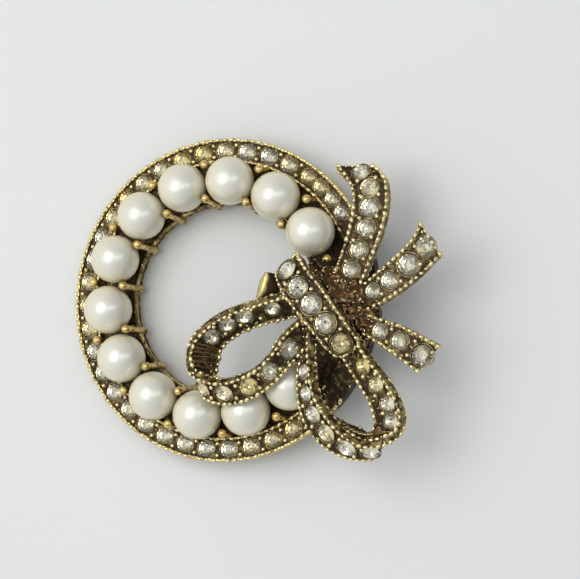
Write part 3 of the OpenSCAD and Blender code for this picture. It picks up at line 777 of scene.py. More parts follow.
def seat_points(seats):
    """Mesh of seat points, each (place, up, along, size vector)."""
    mesh = mesh_of("seats", [s[0] for s in seats])
    for k, name in ((1, "up"), (2, "along"), (3, "size")):
        give_values(mesh, name, [s[k] for s in seats], "FLOAT_VECTOR")
    return mesh


def paths_mesh(paths):
    """Mesh of edge paths, each a list of (place, up)."""
    points, ups, edges = [], [], []
    for path in paths:
        first = len(points)
        points += [p for p, _ in path]
        ups += [u for _, u in path]
        edges += [(first + i, first + i + 1) for i in range(len(path) - 1)]
    mesh = mesh_of("paths", points, edges=edges)
    give_values(mesh, "up", ups, "FLOAT_VECTOR")
    return mesh


BEADS_ALONG = beads_along_tree()
SET_ON_POINTS = set_on_points_tree()


# Shader groups

def new_shader_group(name, inputs, outputs):
    """Shader group with named sockets; returns the group, its given and its wanted sockets."""
    group = bpy.data.node_groups.new(name, "ShaderNodeTree")
    for label, kind, value in inputs:
        socket = group.interface.new_socket(label, in_out="INPUT", socket_type="NodeSocket" + kind)
        socket.default_value = value
    for label, kind in outputs:
        group.interface.new_socket(label, in_out="OUTPUT", socket_type="NodeSocket" + kind)
    given = group.nodes.new("NodeGroupInput").outputs
    wanted = group.nodes.new("NodeGroupOutput").inputs
    return group, given, wanted


def noise_over(tree, scale, detail, roughness=0.5):
    """Noise over the finished objects, whose own metres are the scene's."""
    place = add(tree, "ShaderNodeTexCoord").outputs["Object"]
    return add(tree, "ShaderNodeTexNoise", {"Vector": place, "Scale": scale, "Detail": detail,
                                            "Roughness": roughness}).outputs[0]


def mapped(tree, value, source=(0.0, 1.0), target=(0.0, 1.0)):
    """Value brought from one range to another."""
    return add(tree, "ShaderNodeMapRange", {0: value, 1: source[0], 2: source[1],
                                            3: target[0], 4: target[1]}).outputs[0]


def mixed(tree, factor, first, second):
    """Colour between two others."""
    return add(tree, "ShaderNodeMix", {"Factor": factor, 6: first, 7: second},
               data_type="RGBA").outputs[2]


def bumped(tree, height, strength, distance):
    """Normals of a surface with fine relief."""
    return add(tree, "ShaderNodeBump", {"Height": height, "Strength": strength,
                                        "Distance": distance}).outputs[0]


def patina_and_shade_group():
    """Dark patina and painted shade where closed in, worn metal where the surface stands proud."""
    group, given, wanted = new_shader_group("patina_in_hollows", [
        ("Bright", "Color", (0.6, 0.45, 0.2, 1)), ("Dark", "Color", (0.05, 0.03, 0.01, 1)),
        ("Reach", "Float", 0.0005), ("Depth", "Float", 1.0), ("Blotches", "Float", 0.3)],
        [("Colour", "Color"), ("Patina", "Float")])
    # Marked values: patina in recesses, and painted shade under the bow and on the tab's far side
    hollow = add(group, "ShaderNodeAttribute", attribute_name="hollow").outputs["Fac"]
    # Painted shade from ambient occlusion, which also stands for the patina in closed-in places
    cover = add(group, "ShaderNodeAmbientOcclusion", {"Distance": given["Reach"]}, samples=6)
    closed = mapped(group, cover.outputs["AO"], OPEN_RANGE)
    deep = maths(group, "MULTIPLY", maths(group, "MAXIMUM", closed, hollow), given["Depth"])
    spots = mapped(group, noise_over(group, BLOTCH_SCALE, 3.0), BLOTCH_RANGE, BLOTCH_REACH)
    spread = maths(group, "MULTIPLY", spots, given["Blotches"])
    mask = maths(group, "ADD", deep, spread, use_clamp=True)
    group.links.new(mixed(group, mask, given["Bright"], given["Dark"]), wanted["Colour"])
    group.links.new(mask, wanted["Patina"])
    return group


def grain_group():
    """Fine cast grain with shallow pits, as a height."""
    group, given, wanted = new_shader_group("cast_grain", [
        ("Scale", "Float", 2500.0), ("Pits", "Float", 0.5)], [("Height", "Float")])
    grain = noise_over(group, given["Scale"], 4.0, 0.6)
    place = add(group, "ShaderNodeTexCoord").outputs["Object"]
    pits = add(group, "ShaderNodeTexVoronoi", {"Vector": place, "Scale": given["Scale"]})
    deep = maths(group, "MULTIPLY", pits.outputs["Distance"], given["Pits"])
    group.links.new(maths(group, "ADD", grain, deep), wanted["Height"])
    return group


PATINA_AND_SHADE = patina_and_shade_group()
GRAIN = grain_group()


# Materials

def new_material(name):
    """Material with its Principled shader; returns the material, its tree and that shader."""
    material = bpy.data.materials.new(name)
    material.use_nodes = True
    return material, material.node_tree, material.node_tree.nodes["Principled BSDF"]


def cast_metal(name, bright, dark, reach, depth, blotches, smooth, rough, grain):
    """Antique plated casting: worn bright, dark patina and painted shade where closed in."""
    material, tree, shader = new_material(name)
    # These outputs carry painted shade as well as patina
    patina = add(tree, "ShaderNodeGroup", {
        "Bright": (*bright, 1), "Dark": (*dark, 1), "Reach": reach, "Depth": depth,
        "Blotches": blotches}, node_tree=PATINA_AND_SHADE).outputs
    skin = add(tree, "ShaderNodeGroup", {"Scale": GRAIN_SCALE, "Pits": GRAIN_PITS},
               node_tree=GRAIN)
    fill(tree, shader, {
        "Base Color": patina["Colour"],
        "Roughness": mapped(tree, patina["Patina"], target=(smooth, rough)),
        "Metallic": mapped(tree, patina["Patina"], target=(1.0, DARKENED_METALLIC)),
        "Normal": bumped(tree, skin.outputs["Height"], grain, GRAIN_DEPTH)})
    return material


def pearl_material():
    """Grey-white pearly coat with a faint cloudiness, and a painted warm reflection at its rim."""
    material, tree, shader = new_material("pearl_coat")
    cloudy = mixed(tree, noise_over(tree, 260.0, 3.0), (0.71, 0.71, 0.63, 1),
                   (0.78, 0.78, 0.70, 1))
    # Painted reflection: the rim turns warm gold, as if the gold setting were mirrored in it
    facing = add(tree, "ShaderNodeLayerWeight", {"Blend": 0.5}).outputs["Facing"]
    fine = noise_over(tree, 1600.0, 2.0)
    fill(tree, shader, {
        "Base Color": mixed(tree, facing, cloudy, (0.84, 0.74, 0.46, 1)),
        "Roughness": mapped(tree, fine, target=(0.3, 0.42)),
        "Normal": bumped(tree, fine, 0.06, 0.00004),
        "Metallic": 0.3, "Coat Weight": 0.9, "Coat Roughness": 0.16})
    return material


def stone_tint(tree, clear, yellowed):
    """Colour that turns from clear to yellowed over the brooch in broad patches."""
    patches = mapped(tree, noise_over(tree, 130.0, 1.0), (0.42, 0.66))
    return mixed(tree, patches, clear, yellowed)


def glass_material():
    """Clear cut glass, yellowed in places."""
    material, tree, shader = new_material("clear_cut_glass")
    fill(tree, shader, {
        "Base Color": stone_tint(tree, (1.0, 0.99, 0.93, 1), (0.98, 0.92, 0.68, 1)),
        "Roughness": 0.02, "IOR": 1.55, "Transmission Weight": 1.0})
    return material


def foil_material():
    """Bright foil on the back of a cut stone."""
    material, tree, shader = new_material("stone_foil")
    fill(tree, shader, {
        "Base Color": stone_tint(tree, (1.0, 0.98, 0.88, 1), (1.0, 0.9, 0.58, 1)),
        "Metallic": 0.82, "Roughness": 0.1})
    return material


# Castings: name, worn colour, colour of patina and painted shade, their reach, depth and
# blotches, roughness where worn and where dark, strength of the grain
METALS = [
    ("worn_gold_beads", (0.90, 0.76, 0.40), (0.06, 0.038, 0.015), 0.0003, 1.1, 1.1, 0.2, 0.5, 0.35),
    ("dull_gold_beads", (0.86, 0.72, 0.35), (0.06, 0.038, 0.015), 0.0003, 1.1, 1.2, 0.22, 0.55, 0.35),
    ("worn_antique_gold", (0.60, 0.46, 0.18), (0.035, 0.020, 0.008), 0.0009, 1.28, 0.9, 0.28, 0.5, 0.5),
    ("prong_gold", (0.84, 0.60, 0.24), (0.10, 0.05, 0.02), 0.0008, 1.0, 0.8, 0.2, 0.5, 0.3),
    ("rolled_leaf_gold", (0.62, 0.53, 0.21), (0.05, 0.03, 0.014), 0.0006, 1.2, 0.4, 0.28, 0.5, 0.2),
    # The loop tips' ribs are darker than the bands: patina and painted shade of the loops' insides
    ("ribbed_patina", (0.42, 0.30, 0.15), (0.032, 0.016, 0.010), 0.0005, 1.3, 0.5, 0.35, 0.6, 0.3),
    # The gathered middle is dark even where worn: patina and painted shade under the knot and loops
    ("dark_patina", (0.115, 0.066, 0.030), (0.020, 0.010, 0.005), 0.0016, 1.5, 1.0, 0.16, 0.32, 0.4),
    ("pin_wire", (0.62, 0.58, 0.5), (0.2, 0.17, 0.13), 0.0006, 0.7, 0.3, 0.3, 0.5, 0.12),
]
(RIM_GOLD, WREATH_GOLD, BAND_GOLD, PRONG_GOLD, LEAF_GOLD, RIB_GOLD, DARK_GOLD,
 PIN_STEEL) = [cast_metal(*metal) for metal in METALS]
PEARL = pearl_material()
GLASS = glass_material()
FOIL = foil_material()


# Shapes that are set many times

def stone_shape():
    """Round cut stone of diameter one: table, star, kite and girdle facets, foiled back."""
    def ring(count, r, z, shift=0.0):
        """Corners round the stone, turned by a share of their step."""
        turn = 2 * math.pi * (np.arange(count) + shift) / count
        return [(r * math.cos(t), r * math.sin(t), z) for t in turn]

    points = (ring(8, TABLE_SHARE / 2, CROWN_SHARE)
              + ring(8, STAR_R, CROWN_SHARE * FACET_SHARE, 0.5)
              + ring(16, GIRDLE_R, GIRDLE_SHARE / 2) + ring(16, GIRDLE_R, -GIRDLE_SHARE / 2)
              + ring(8, BACK_R, -PAVILION_SHARE * FACET_SHARE, 0.5) + [(0, 0, -PAVILION_SHARE)])
    table, star, top, low, back, culet = 0, 8, 16, 32, 48, 56
    faces = [tuple(range(8))]
    for i in range(8):
        n = (i + 1) % 8
        faces.append((table + i, star + i, table + n))
        faces.append((table + n, star + i, top + 2 * n, star + n))
        faces.append((star + i, top + 2 * i, top + 2 * i + 1))
        faces.append((star + i, top + 2 * i + 1, top + 2 * n))
    for i in range(16):
        n = (i + 1) % 16
        faces.append((top + i, low + i, low + n, top + n))
    crown_faces = len(faces)
    for i in range(8):
        n = (i + 1) % 8
        faces.append((low + 2 * i, back + i, low + 2 * i + 1))
        faces.append((low + 2 * i + 1, back + i, low + 2 * n))
        faces.append((back + i, culet, back + n, low + 2 * n))
    mesh = mesh_of("stone_shape", points, faces)
    marks = mesh.attributes.new("foil", "BOOLEAN", "FACE")
    marks.data.foreach_set("value", [i >= crown_faces for i in range(len(faces))])
    return linked("stone_shape", outward(mesh))


def ball_shape(steps=8):
    """Small round grain of radius one."""
    bm = bmesh.new()
    bmesh.ops.create_uvsphere(bm, u_segments=steps, v_segments=steps // 2 + 1, radius=1.0)
    mesh = mesh_from(bm, "ball_shape")
    mesh.shade_smooth()
    return linked("ball_shape", mesh)


def collar_shape():
    """Thin ring of inner radius one half, which stands round a stone of diameter one."""
    rings = [[((GIRDLE_R + r) * math.cos(t), (GIRDLE_R + r) * math.sin(t), z)
              for r, z, _ in COLLAR_PROFILE] for t in around(COLLAR_STEPS)]
    mesh = lofted("collar_shape", rings, closed=True, patina_shade_levels=[row[2] for row in COLLAR_PROFILE])
    mesh.shade_smooth()
    return linked("collar_shape", mesh)


def rib_shape():
    """Rounded rib of half length one along x and half width and height one."""
    mesh = lofted("rib_shape", [[(x, r * math.cos(t), r * math.sin(t)) for t in around(RIB_STEPS)]
                                for x, r in RIB_PROFILE])
    mesh.shade_smooth()
    return linked("rib_shape", mesh)


def prong_shape(name, height, base, lean):
    """Prong with a flared foot and a round bead, its foot at the origin, leaning along x."""
    profile = [(AXIS_R, 0)] + [(POST_R * r, height * z) for r, z in POST_PROFILE]
    profile.append((POST_R * POST_TOP, height - BEAD_R * BEAD_SINK))
    for t in np.linspace(*BEAD_ARC, 8):
        a = math.radians(t)
        profile.append((BEAD_R * math.cos(a), height + BEAD_R * math.sin(a)))
    profile.append((AXIS_R, height + BEAD_R))
    mesh = turned(name, profile, PRONG_STEPS)
    give_values(mesh, "hollow", [PRONG_SHADE * max(0.0, 1 - v.co.z / height) ** 0.5
                                 for v in mesh.vertices])
    for v in mesh.vertices:
        v.co.x += lean * (v.co.z / height - 1)
        v.co.z += base
    mesh.shade_smooth()
    return linked(name, mesh)


STONE_SHAPE = stone_shape()
BALL_SHAPE = ball_shape()
COLLAR_SHAPE = collar_shape()
RIB_SHAPE = rib_shape()


# Wreath

def ring_stone_seats():
    """Direction and diameter of each stone in the wreath's channel."""
    close = math.degrees(CLOSE_STONE_STEP / RING_STONE_R)
    step = math.degrees(RING_STONE_STEP / RING_STONE_R)
    even_start = FIRST_STONE_DIR + (CLOSE_COUNT - 1) * close
    seats = [(FIRST_STONE_DIR + i * close, CLOSE_STONE_D) for i in range(CLOSE_COUNT)]
    for i in range(1, 1 + math.floor((LAST_STONE_DIR - even_start) / step)):
        seats.append((even_start + i * step, RING_STONE_D))
    return seats


def wreath_stone_seats():
    """Place, normal and diameter of each stone of the wreath."""
    return [(direction(turn) * RING_STONE_R + BED_Z * UP, UP, d)
            for turn, d in ring_stone_seats()]


def pocket(place, up, d):
    """Cutter for the seat of a stone of diameter d."""
    r = d / 2 + SEAT_GAP
    deep = d * PAVILION_SHARE + STONE_GAP
    mesh = turned("seat_cutter", [(r * SEAT_FLOOR, -deep), (r, -deep * SEAT_SHOULDER),
                                  (r, deep)], SEAT_STEPS)
    turn = Vector(up).to_track_quat("Z", "Y").to_matrix().to_4x4()
    mesh.transform(Matrix.Translation(Vector(place)) @ turn)
    return linked("seat_cutter", mesh)


def with_pockets(name, mesh, seats):
    """Mesh with a pocket at each seat (place, up, diameter), dark inside and at its brim."""
    body = linked(name, mesh)
    cutters = [pocket(*seat) for seat in seats]
    for cutter in cutters:
        cut = body.modifiers.new("seat", "BOOLEAN")
        cut.operation = "DIFFERENCE"
        cut.solver = "MANIFOLD"
        cut.object = cutter
    made = plain_mesh(body)
    for thing in [body] + cutters:
        bpy.data.objects.remove(thing)
    points = np.array([v.co for v in made.vertices])
    values = np.zeros(len(points), np.float32)
    hollow = made.attributes["hollow"].data
    hollow.foreach_get("value", values)
    for place, _, d in seats:
        values[np.linalg.norm(points - place, axis=1) < d / 2 + SEAT_BRIM] = 1
    hollow.foreach_set("value", values)
    return made


def under_bow(turn):
    """One where the bow covers the wreath, nothing where it is free."""
    from_bow = abs((turn - BOW_DIR + 180) % 360 - 180)
    return float(np.interp(from_bow, (UNDER_BOW, UNDER_BOW + BOW_FADE), (1, 0)))


def wreath_band():
    """Plate with its channel and lips, swept round, with the stones' pockets cut in."""
    inside = OPENING_R + GROOVE_D
    levels = [PLATE_T * share for share in GROOVE_LEVELS]
    outline = [
        (OPENING_R + BEVEL, 0, 0), (RING_R - BEVEL, 0, 0), (RING_R, BEVEL, 0),
        (RING_R, RIM_Z, 0), (RING_R - RIM_W, RIM_Z, 0), (RING_R - RIM_W, BED_Z, 1),
        (INNER_RIM_R + RIM_W, BED_Z, 1), (INNER_RIM_R + RIM_W, RIM_Z, 0),
        (INNER_RIM_R, RIM_Z, 0), (INNER_RIM_R, PLATE_T, 1),
        (OPENING_R + LIP_W, PLATE_T, 1), (OPENING_R + LIP_W, PLATE_T + LIP_H, LIP_SHADE),
        (OPENING_R, PLATE_T + LIP_H, LIP_CORNER_SHADE), (OPENING_R, levels[3], LIP_SHADE),
        (inside, levels[2], 1), (inside, levels[1], 1),
        (OPENING_R, levels[0], LIP_SHADE), (OPENING_R, BEVEL, LIP_CORNER_SHADE),
    ]
    profile = rounded(outline, WREATH_EDGE_R)
    rings, patina_shade_levels = [], []
    for t in around(WREATH_STEPS):
        rings.append([(r * math.cos(t), r * math.sin(t), z) for r, z, _ in profile])
        # Under the bow the whole section is marked dark: patina and painted shade of the bow over it
        patina_shade_levels.append(np.maximum(profile[:, 2], under_bow(math.degrees(t))))
    mesh = lofted("wreath_band", rings, closed=True, patina_shade_levels=patina_shade_levels)
    return with_pockets("wreath_band", mesh, wreath_stone_seats())


def prong_r(side, bead_z, gap):
    """Radius at which a prong's bead stands a gap off both pearls beside it."""
    half = math.radians(PEARL_STEP / 2)
    reach = PEARL_D / 2 + BEAD_R + gap
    apart = PEARL_CIRCLE_R * math.sin(half)
    square = reach ** 2 - (bead_z - PEARL_Z) ** 2 - apart ** 2
    return PEARL_CIRCLE_R * math.cos(half) + side * math.sqrt(square)


def set_prongs():
    """All prongs, set round the wreath by the node tree, as one mesh."""
    pearl_gaps = [FIRST_PEARL_DIR + (i + 0.5) * PEARL_STEP for i in range(PEARL_COUNT - 1)]
    last = FIRST_PEARL_DIR + (PEARL_COUNT - 1) * PEARL_STEP
    ends = [FIRST_PEARL_DIR - END_PRONG_TURN, last + END_PRONG_TURN]
    kinds = [
        (INNER_BEAD_Z, PLATE_T / 3, INNER_LEAN, pearl_gaps,
         prong_r(-1, INNER_BEAD_Z, INNER_BEAD_GAP)),
        (OUTER_BEAD_Z, PLATE_T / 2, -OUTER_LEAN, pearl_gaps,
         prong_r(1, OUTER_BEAD_Z, OUTER_BEAD_GAP)),
        (OUTER_BEAD_Z, PLATE_T / 2, 0.0, ends, END_PRONG_R),
    ]
    meshes = []
    for bead_z, base, lean, turns, r in kinds:
        shape = prong_shape("prong_shape", bead_z - base, base, lean)
        seats = [(direction(t) * r, UP, direction(t), (1, 1, 1)) for t in turns]
        meshes.append(grown("prongs", seat_points(seats), SET_ON_POINTS, shape=shape, size=1.0,
                            material=PRONG_GOLD, foil_material=PRONG_GOLD))
        bpy.data.objects.remove(shape)
    return joined(meshes)


def joined(meshes):
    """One mesh of several."""
    bm = bmesh.new()
    for mesh in meshes:
        bm.from_mesh(mesh)
    return mesh_from(bm, "joined")


def at_pearl(i, z, mesh):
    """A mesh moved to the place of a pearl, at a height."""
    place = direction(FIRST_PEARL_DIR + i * PEARL_STEP) * PEARL_CIRCLE_R + z * UP
    mesh.transform(Matrix.Translation(Vector(place)))
    return mesh


def pearl_cups():
    """Low round cups under the pearls."""
    rim = CUP_H + PEARL_D / 16
    profile = [(AXIS_R, -CUP_SINK), (CUP_R * CUP_FLARE, -CUP_SINK)]
    profile += [(CUP_R * r, rim * z) for r, z in CUP_PROFILE] + [(AXIS_R, rim * CUP_MIDDLE)]
    return joined([at_pearl(i, PLATE_T, turned("cup", profile, CUP_STEPS))
                   for i in range(PEARL_COUNT)])


def rim_paths():
    """Arcs on which the wreath's milgrain runs, from one side of the bow to the other."""
    paths = []
    for r, z, tip in ((RING_R - RIM_INSET, RIM_Z - RIM_SINK, RIM_TIP),
                      (INNER_RIM_R + RIM_W / 2, RIM_Z, 0.0)):
        path = []
        for t in np.linspace(BOW_DIR + UNDER_BOW, BOW_DIR + 360 - UNDER_BOW, RIM_POINTS):
            path.append((direction(t) * r + z * UP, unit(UP + tip * direction(t))))
        paths.append(path)
    return paths


def sow(name, seats, shape, size, material):
    """Piece of one small shape set on many seats."""
    mesh = grown(name, seat_points(seats), SET_ON_POINTS, shape=shape, size=size,
                 material=material, foil_material=material)
    piece(name, mesh, None)


def make_wreath():
    """Casting of the wreath with its milgrain, prongs and stones."""
    band = wreath_band()
    places = fleck_seats(band, WREATH_FLECKS, PLATE_T, wreath_stone_seats())
    sow("wreath_flecks", places, BALL_SHAPE, GRAIN_R, WREATH_GOLD)
    piece("wreath_band", band, [BAND_GOLD], ["ring_casting"], PLATE_CREASE)
    piece("wreath_prongs", set_prongs(), [PRONG_GOLD], ["ring_casting"])
    piece("pearl_cups", pearl_cups(), [BAND_GOLD], ["ring_casting"], CUP_CREASE)
    milgrain = grown("rim_milgrain", paths_mesh(rim_paths()), BEADS_ALONG, pitch=RIM_PITCH,
                     bead_size=RIM_BEAD, unevenness=0.2, seed=4, material=WREATH_GOLD)
    piece("wreath_milgrain", milgrain, None, ["ring_casting"])
    stones = ring_stone_seats()
    seats = [(direction(turn) * RING_STONE_R + BED_Z * UP, UP, direction(turn + 90), (d, d, d))
             for turn, d in stones]
    grains = []
    for (t1, _), (t2, _) in zip(stones, stones[1:]):
        if t2 - t1 < GRAIN_TURN:
            continue
        for side in (-1, 1):
            place = direction((t1 + t2) / 2) * (RING_STONE_R + side * GRAIN_ASIDE)
            grains.append((place + (BED_Z + GRAIN_LIFT) * UP, UP, direction(t1), (1, 1, 1)))
    set_stones("ring_stones", seats)
    sow("wreath_collars", seats, COLLAR_SHAPE, 1.0, BAND_GOLD)
    sow("wreath_grains", grains, BALL_SHAPE, GRAIN_R, RIM_GOLD)


def set_stones(node, seats):
    """Stones of one node, set on their seats."""
    mesh = grown(node, seat_points(seats), SET_ON_POINTS, shape=STONE_SHAPE, size=1.0,
                 material=GLASS, foil_material=FOIL)
    piece("cut_" + node, mesh, None, [node])


def make_pearls():
    """Round pearls on their cups."""
    for i in range(PEARL_COUNT):
        bm = bmesh.new()
        bmesh.ops.create_uvsphere(bm, u_segments=PEARL_STEPS[0], v_segments=PEARL_STEPS[1],
                                  radius=PEARL_D / 2)
        mesh = at_pearl(i, PEARL_Z, mesh_from(bm, "pearl"))
        node = f"pearl_{i + 1:02d}"
        piece("round_" + node, mesh, [PEARL], [node], NO_CREASE)


# Bow

def band_outline(half_w, thick, crown):
    """Section of a ribbon as (across, normal, spread share, hollow)."""
    w, v, t = half_w, half_w - RIBBON_RIM_W, thick / 2
    e = t + RIBBON_RIM_H
    foot = v * RIM_DRAFT
    dark = RIM_SHADE
    return [(-w, -e, 0, dark), (-v, -e, 0, dark), (-foot, -t, 0, 1), (foot, -t, 0, 1),
            (v, -e, 0, dark), (w, -e, 0, dark), (w, e, 0, dark), (v, e, 0, dark),
            (foot, t, 0, 1), (0, t + crown, 0.5, CROWN_SHADE), (-foot, t, 1, 1),
            (-v, e, 1, dark), (-w, e, 1, dark)]


def band_mesh(ribbon):
    """Ribbon swept through its rows, with its stones' pockets cut in."""
    count = math.ceil(ribbon.last / BAND_STEP)
    rings = []
    for place in np.linspace(0, ribbon.last, count + 1):
        middle, _, across, normal, half_w = ribbon.frame(place)
        spread = ribbon.spread(place)
        outline = rounded(band_outline(half_w, ribbon.thick, ribbon.crown), EDGE_R)
        rings.append([middle + q[0] * across + q[1] * normal + q[2] * spread for q in outline])
    mesh = lofted(ribbon.name + "_band", rings, patina_shade_levels=outline[:, 3])
    return with_pockets(ribbon.name + "_band", mesh, stone_seats(ribbon))


def gem_seat(ribbon, place, aside, face):
    """Point, normal and direction along at a stone's seat, as in the part's source."""
    middle, along, across, normal, half_w = ribbon.frame(place)
    crown = ribbon.crown if face == INNER else 0
    height = ribbon.thick / 2 + crown
    point = middle + across * half_w * aside + normal * face * height
    return point, normal * face, along


def stone_seats(ribbon):
    """Place, normal and diameter of each stone of a ribbon."""
    return [(*gem_seat(ribbon, place, aside, face)[:2], d)
            for place, aside, d, face in ribbon.gems]


def edge_paths(ribbon):
    """Paths of the milgrain along both edges of both faces."""
    paths = []
    for face in (INNER, OUTER):
        for side in (-1, 1):
            path = []
            for place in np.linspace(PATH_START, ribbon.last, ribbon.last * PATH_POINTS):
                middle, _, across, normal, half_w = ribbon.frame(place)
                out = (half_w - RIBBON_RIM_W * MILGRAIN_INSET) * side
                point = middle + across * out + normal * face * (ribbon.thick / 2 + RIBBON_RIM_H)
                if face == INNER and side == -1:
                    point = point + ribbon.spread(place)
                path.append((point, unit(normal * face + MILGRAIN_TIP * side * across)))
            paths.append(path)
    return paths


def end_path(ribbon, place):
    """Path of the milgrain across a cut end of a ribbon."""
    middle, _, across, normal, half_w = ribbon.frame(place)
    lift = normal * (ribbon.thick / 2 + RIBBON_RIM_H / 2)
    return [(middle + across * half_w * aside + lift, unit(normal))
            for aside in np.linspace(-END_REACH, END_REACH, 12)]


def grain_seats(ribbon):
    """Small grains beside and between the stones of a ribbon."""
    seats = []
    gems = ribbon.gems
    for first, second in zip(gems, gems[1:]):
        if first[3] != second[3]:
            continue
        place = (first[0] + second[0]) / 2
        _, along, _, normal, _ = ribbon.frame(place)
        for side in (-GRAIN_SHARE, GRAIN_SHARE):
            aside = (first[1] + second[1]) / 2 + side
            point = ribbon.face_point(place, aside, first[3], GRAIN_LIFT)
            seats.append((point, normal * first[3], along, (1, 1, 1)))
    return seats


def rib_seats(ribbon, ribs):
    """Ribs across the inner face of a loop's tip."""
    seats = []
    for place in np.linspace(ribs[0], ribs[1], ribs[2]):
        far = ribbon.face_point(place - RIB_SLANT, -RIB_REACH, INNER)
        near = ribbon.face_point(place + RIB_SLANT, RIB_REACH, INNER)
        normal = ribbon.frame(place)[3]
        seats.append(((far + near) / 2, normal, unit(near - far),
                      (np.linalg.norm(near - far) / 2, RIB_W / 2, RIB_H)))
    return seats


def smooth_mass(name, balls):
    """One lumpy mass through chains of balls, each chain [(place, radius), ...]."""
    bm = bmesh.new()
    for chain in balls:
        for (p1, r1), (p2, r2) in zip(chain, chain[1:]):
            count = max(2, int(np.linalg.norm(p2 - p1) / (BALL_SPACING * min(r1, r2))))
            for t in np.linspace(0, 1, count):
                turn = Matrix.Translation(Vector(p1 * (1 - t) + p2 * t))
                bmesh.ops.create_icosphere(bm, subdivisions=2, radius=r1 * (1 - t) + r2 * t,
                                           matrix=turn)
    body = linked(name, mesh_from(bm, name))
    remesh = body.modifiers.new("skin", "REMESH")
    remesh.mode = "VOXEL"
    remesh.voxel_size = SKIN_CELL
    calm = body.modifiers.new("calm", "SMOOTH")
    calm.iterations = SKIN_CALM
    made = plain_mesh(body)
    bpy.data.objects.remove(body)
    normals = [v.normal.copy() for v in made.vertices]
    for vertex, normal in zip(made.vertices, normals):
        fine = noise.noise(vertex.co * FINE_LUMPS / LUMP_SIZE)
        vertex.co += normal * LUMP_H * (noise.noise(vertex.co / LUMP_SIZE) + 0.5 * fine)
    return made


def press_from_stones(mesh, seats):
    """Presses a mesh down out of the room of each stone, (place, up, diameter)."""
    points = np.array([v.co for v in mesh.vertices])
    for place, up, d in seats:
        height = (points - place) @ up
        aside = np.linalg.norm(points - place - np.outer(height, up), axis=1)
        deep = d * PAVILION_SHARE + STONE_GAP
        inside = (aside < d / 2 + SEAT_GAP) & (height > -deep) & (height < PRESS_REACH)
        points[inside] -= np.outer(height[inside] + deep, up)
    mesh.vertices.foreach_set("co", points.ravel())


def bow_middle():
    """Gathered middle of the bow: its foot, its folds and the roots of the loops."""
    def over_bow(share, aside=0.0):
        """Place over the bow's middle, at a share of its rise."""
        return BOW_AT + aside + share * BOW_RISE * UP

    chains = []
    for side in (-1, 1):
        chains.append([(BOW_AT + (PLATE_T + FOOT_R * 0.5) * UP, FOOT_R * 0.5),
                       (over_bow(KNOT_HUB[0], KNOT_HUB_OUT * side * direction(KNOT_DIR)),
                        KNOT_HUB[1])])
    for turn in range(0, 360, 45):
        foot = (BOW_AT + direction(turn) * (FOOT_R - FOOT_BALL_R)
                + (PLATE_T + FOOT_BALL_LIFT) * UP)
        chains.append([(foot, FOOT_BALL_R), (over_bow(FOOT_HUB[0]), FOOT_HUB[1])])
    for turn, reach, share, r in CORE_LOBES:
        chains.append([(over_bow(LOBE_HUB[0]), LOBE_HUB[1]),
                       (over_bow(share, reach * direction(turn)), r)])
    for ribbon in (LEFT_LOOP, LOWER_LOOP):
        for place in (0, ribbon.last):
            chains.append([(ribbon.frame(place)[0], LOOP_ROOT_R),
                           (over_bow(LOOP_HUB[0]), LOOP_HUB[1])])
    mass = smooth_mass("bow_middle", chains)
    for ribbon in (TAIL_1, TAIL_2, TAIL_3, LEFT_LOOP, LOWER_LOOP):
        press_from_stones(mass, stone_seats(ribbon))
    return mass


def fleck_seats(mesh, count, low_z, stones=()):
    """Seats of worn flecks scattered over the upper side of a mesh, clear of its stones."""
    chance = np.random.default_rng(FLECK_SEED)
    faces = [f for f in mesh.polygons if f.normal.z > FLECK_SLOPE and f.center.z > low_z]
    areas = np.array([f.area for f in faces])
    seats = []
    for k in chance.choice(len(faces), count, p=areas / areas.sum()):
        corners = np.array([mesh.vertices[i].co for i in faces[k].vertices[:3]])
        place = chance.dirichlet((1, 1, 1)) @ corners
        size = FLECK_SHAPE * chance.uniform(*FLECK_SCALE)
        if all(np.linalg.norm(place - stone) > d / 2 + SEAT_BRIM for stone, _, d in stones):
            seats.append((place, np.array(faces[k].normal), unit(chance.normal(size=3)), size))
    return seats


def rolled_tab():
    """Smooth leaf beside the left loop, with painted shade on its rolled-down side."""
    rings = []
    spots = np.array(TAB_SPOTS)
    turn = around(TAB_STEPS)
    for s in np.linspace(0, len(spots) - 1, 25):
        i = min(int(s), len(spots) - 2)
        ahead = unit(spots[i + 1] - spots[i])[:3] * np.array([1, 1, 0])
        side = unit(np.cross(UP, ahead))
        x, y, share, half_w = on_curve(spots, s)
        middle = BOW_AT + np.array([x, y, share * BOW_RISE])
        rings.append([middle + side * half_w * (math.cos(t) + TAB_SPREAD * max(0, math.cos(t)))
                      + UP * TAB_T * (math.sin(t) - TAB_ROLL * max(0, math.cos(t)))
                      for t in turn])
    # The rolled-down right side gets painted shade
    patina_shade_levels = [float(math.cos(t) > TAB_SHADED_FROM) for t in turn]
    return lofted("rolled_tab", rings, patina_shade_levels=patina_shade_levels)


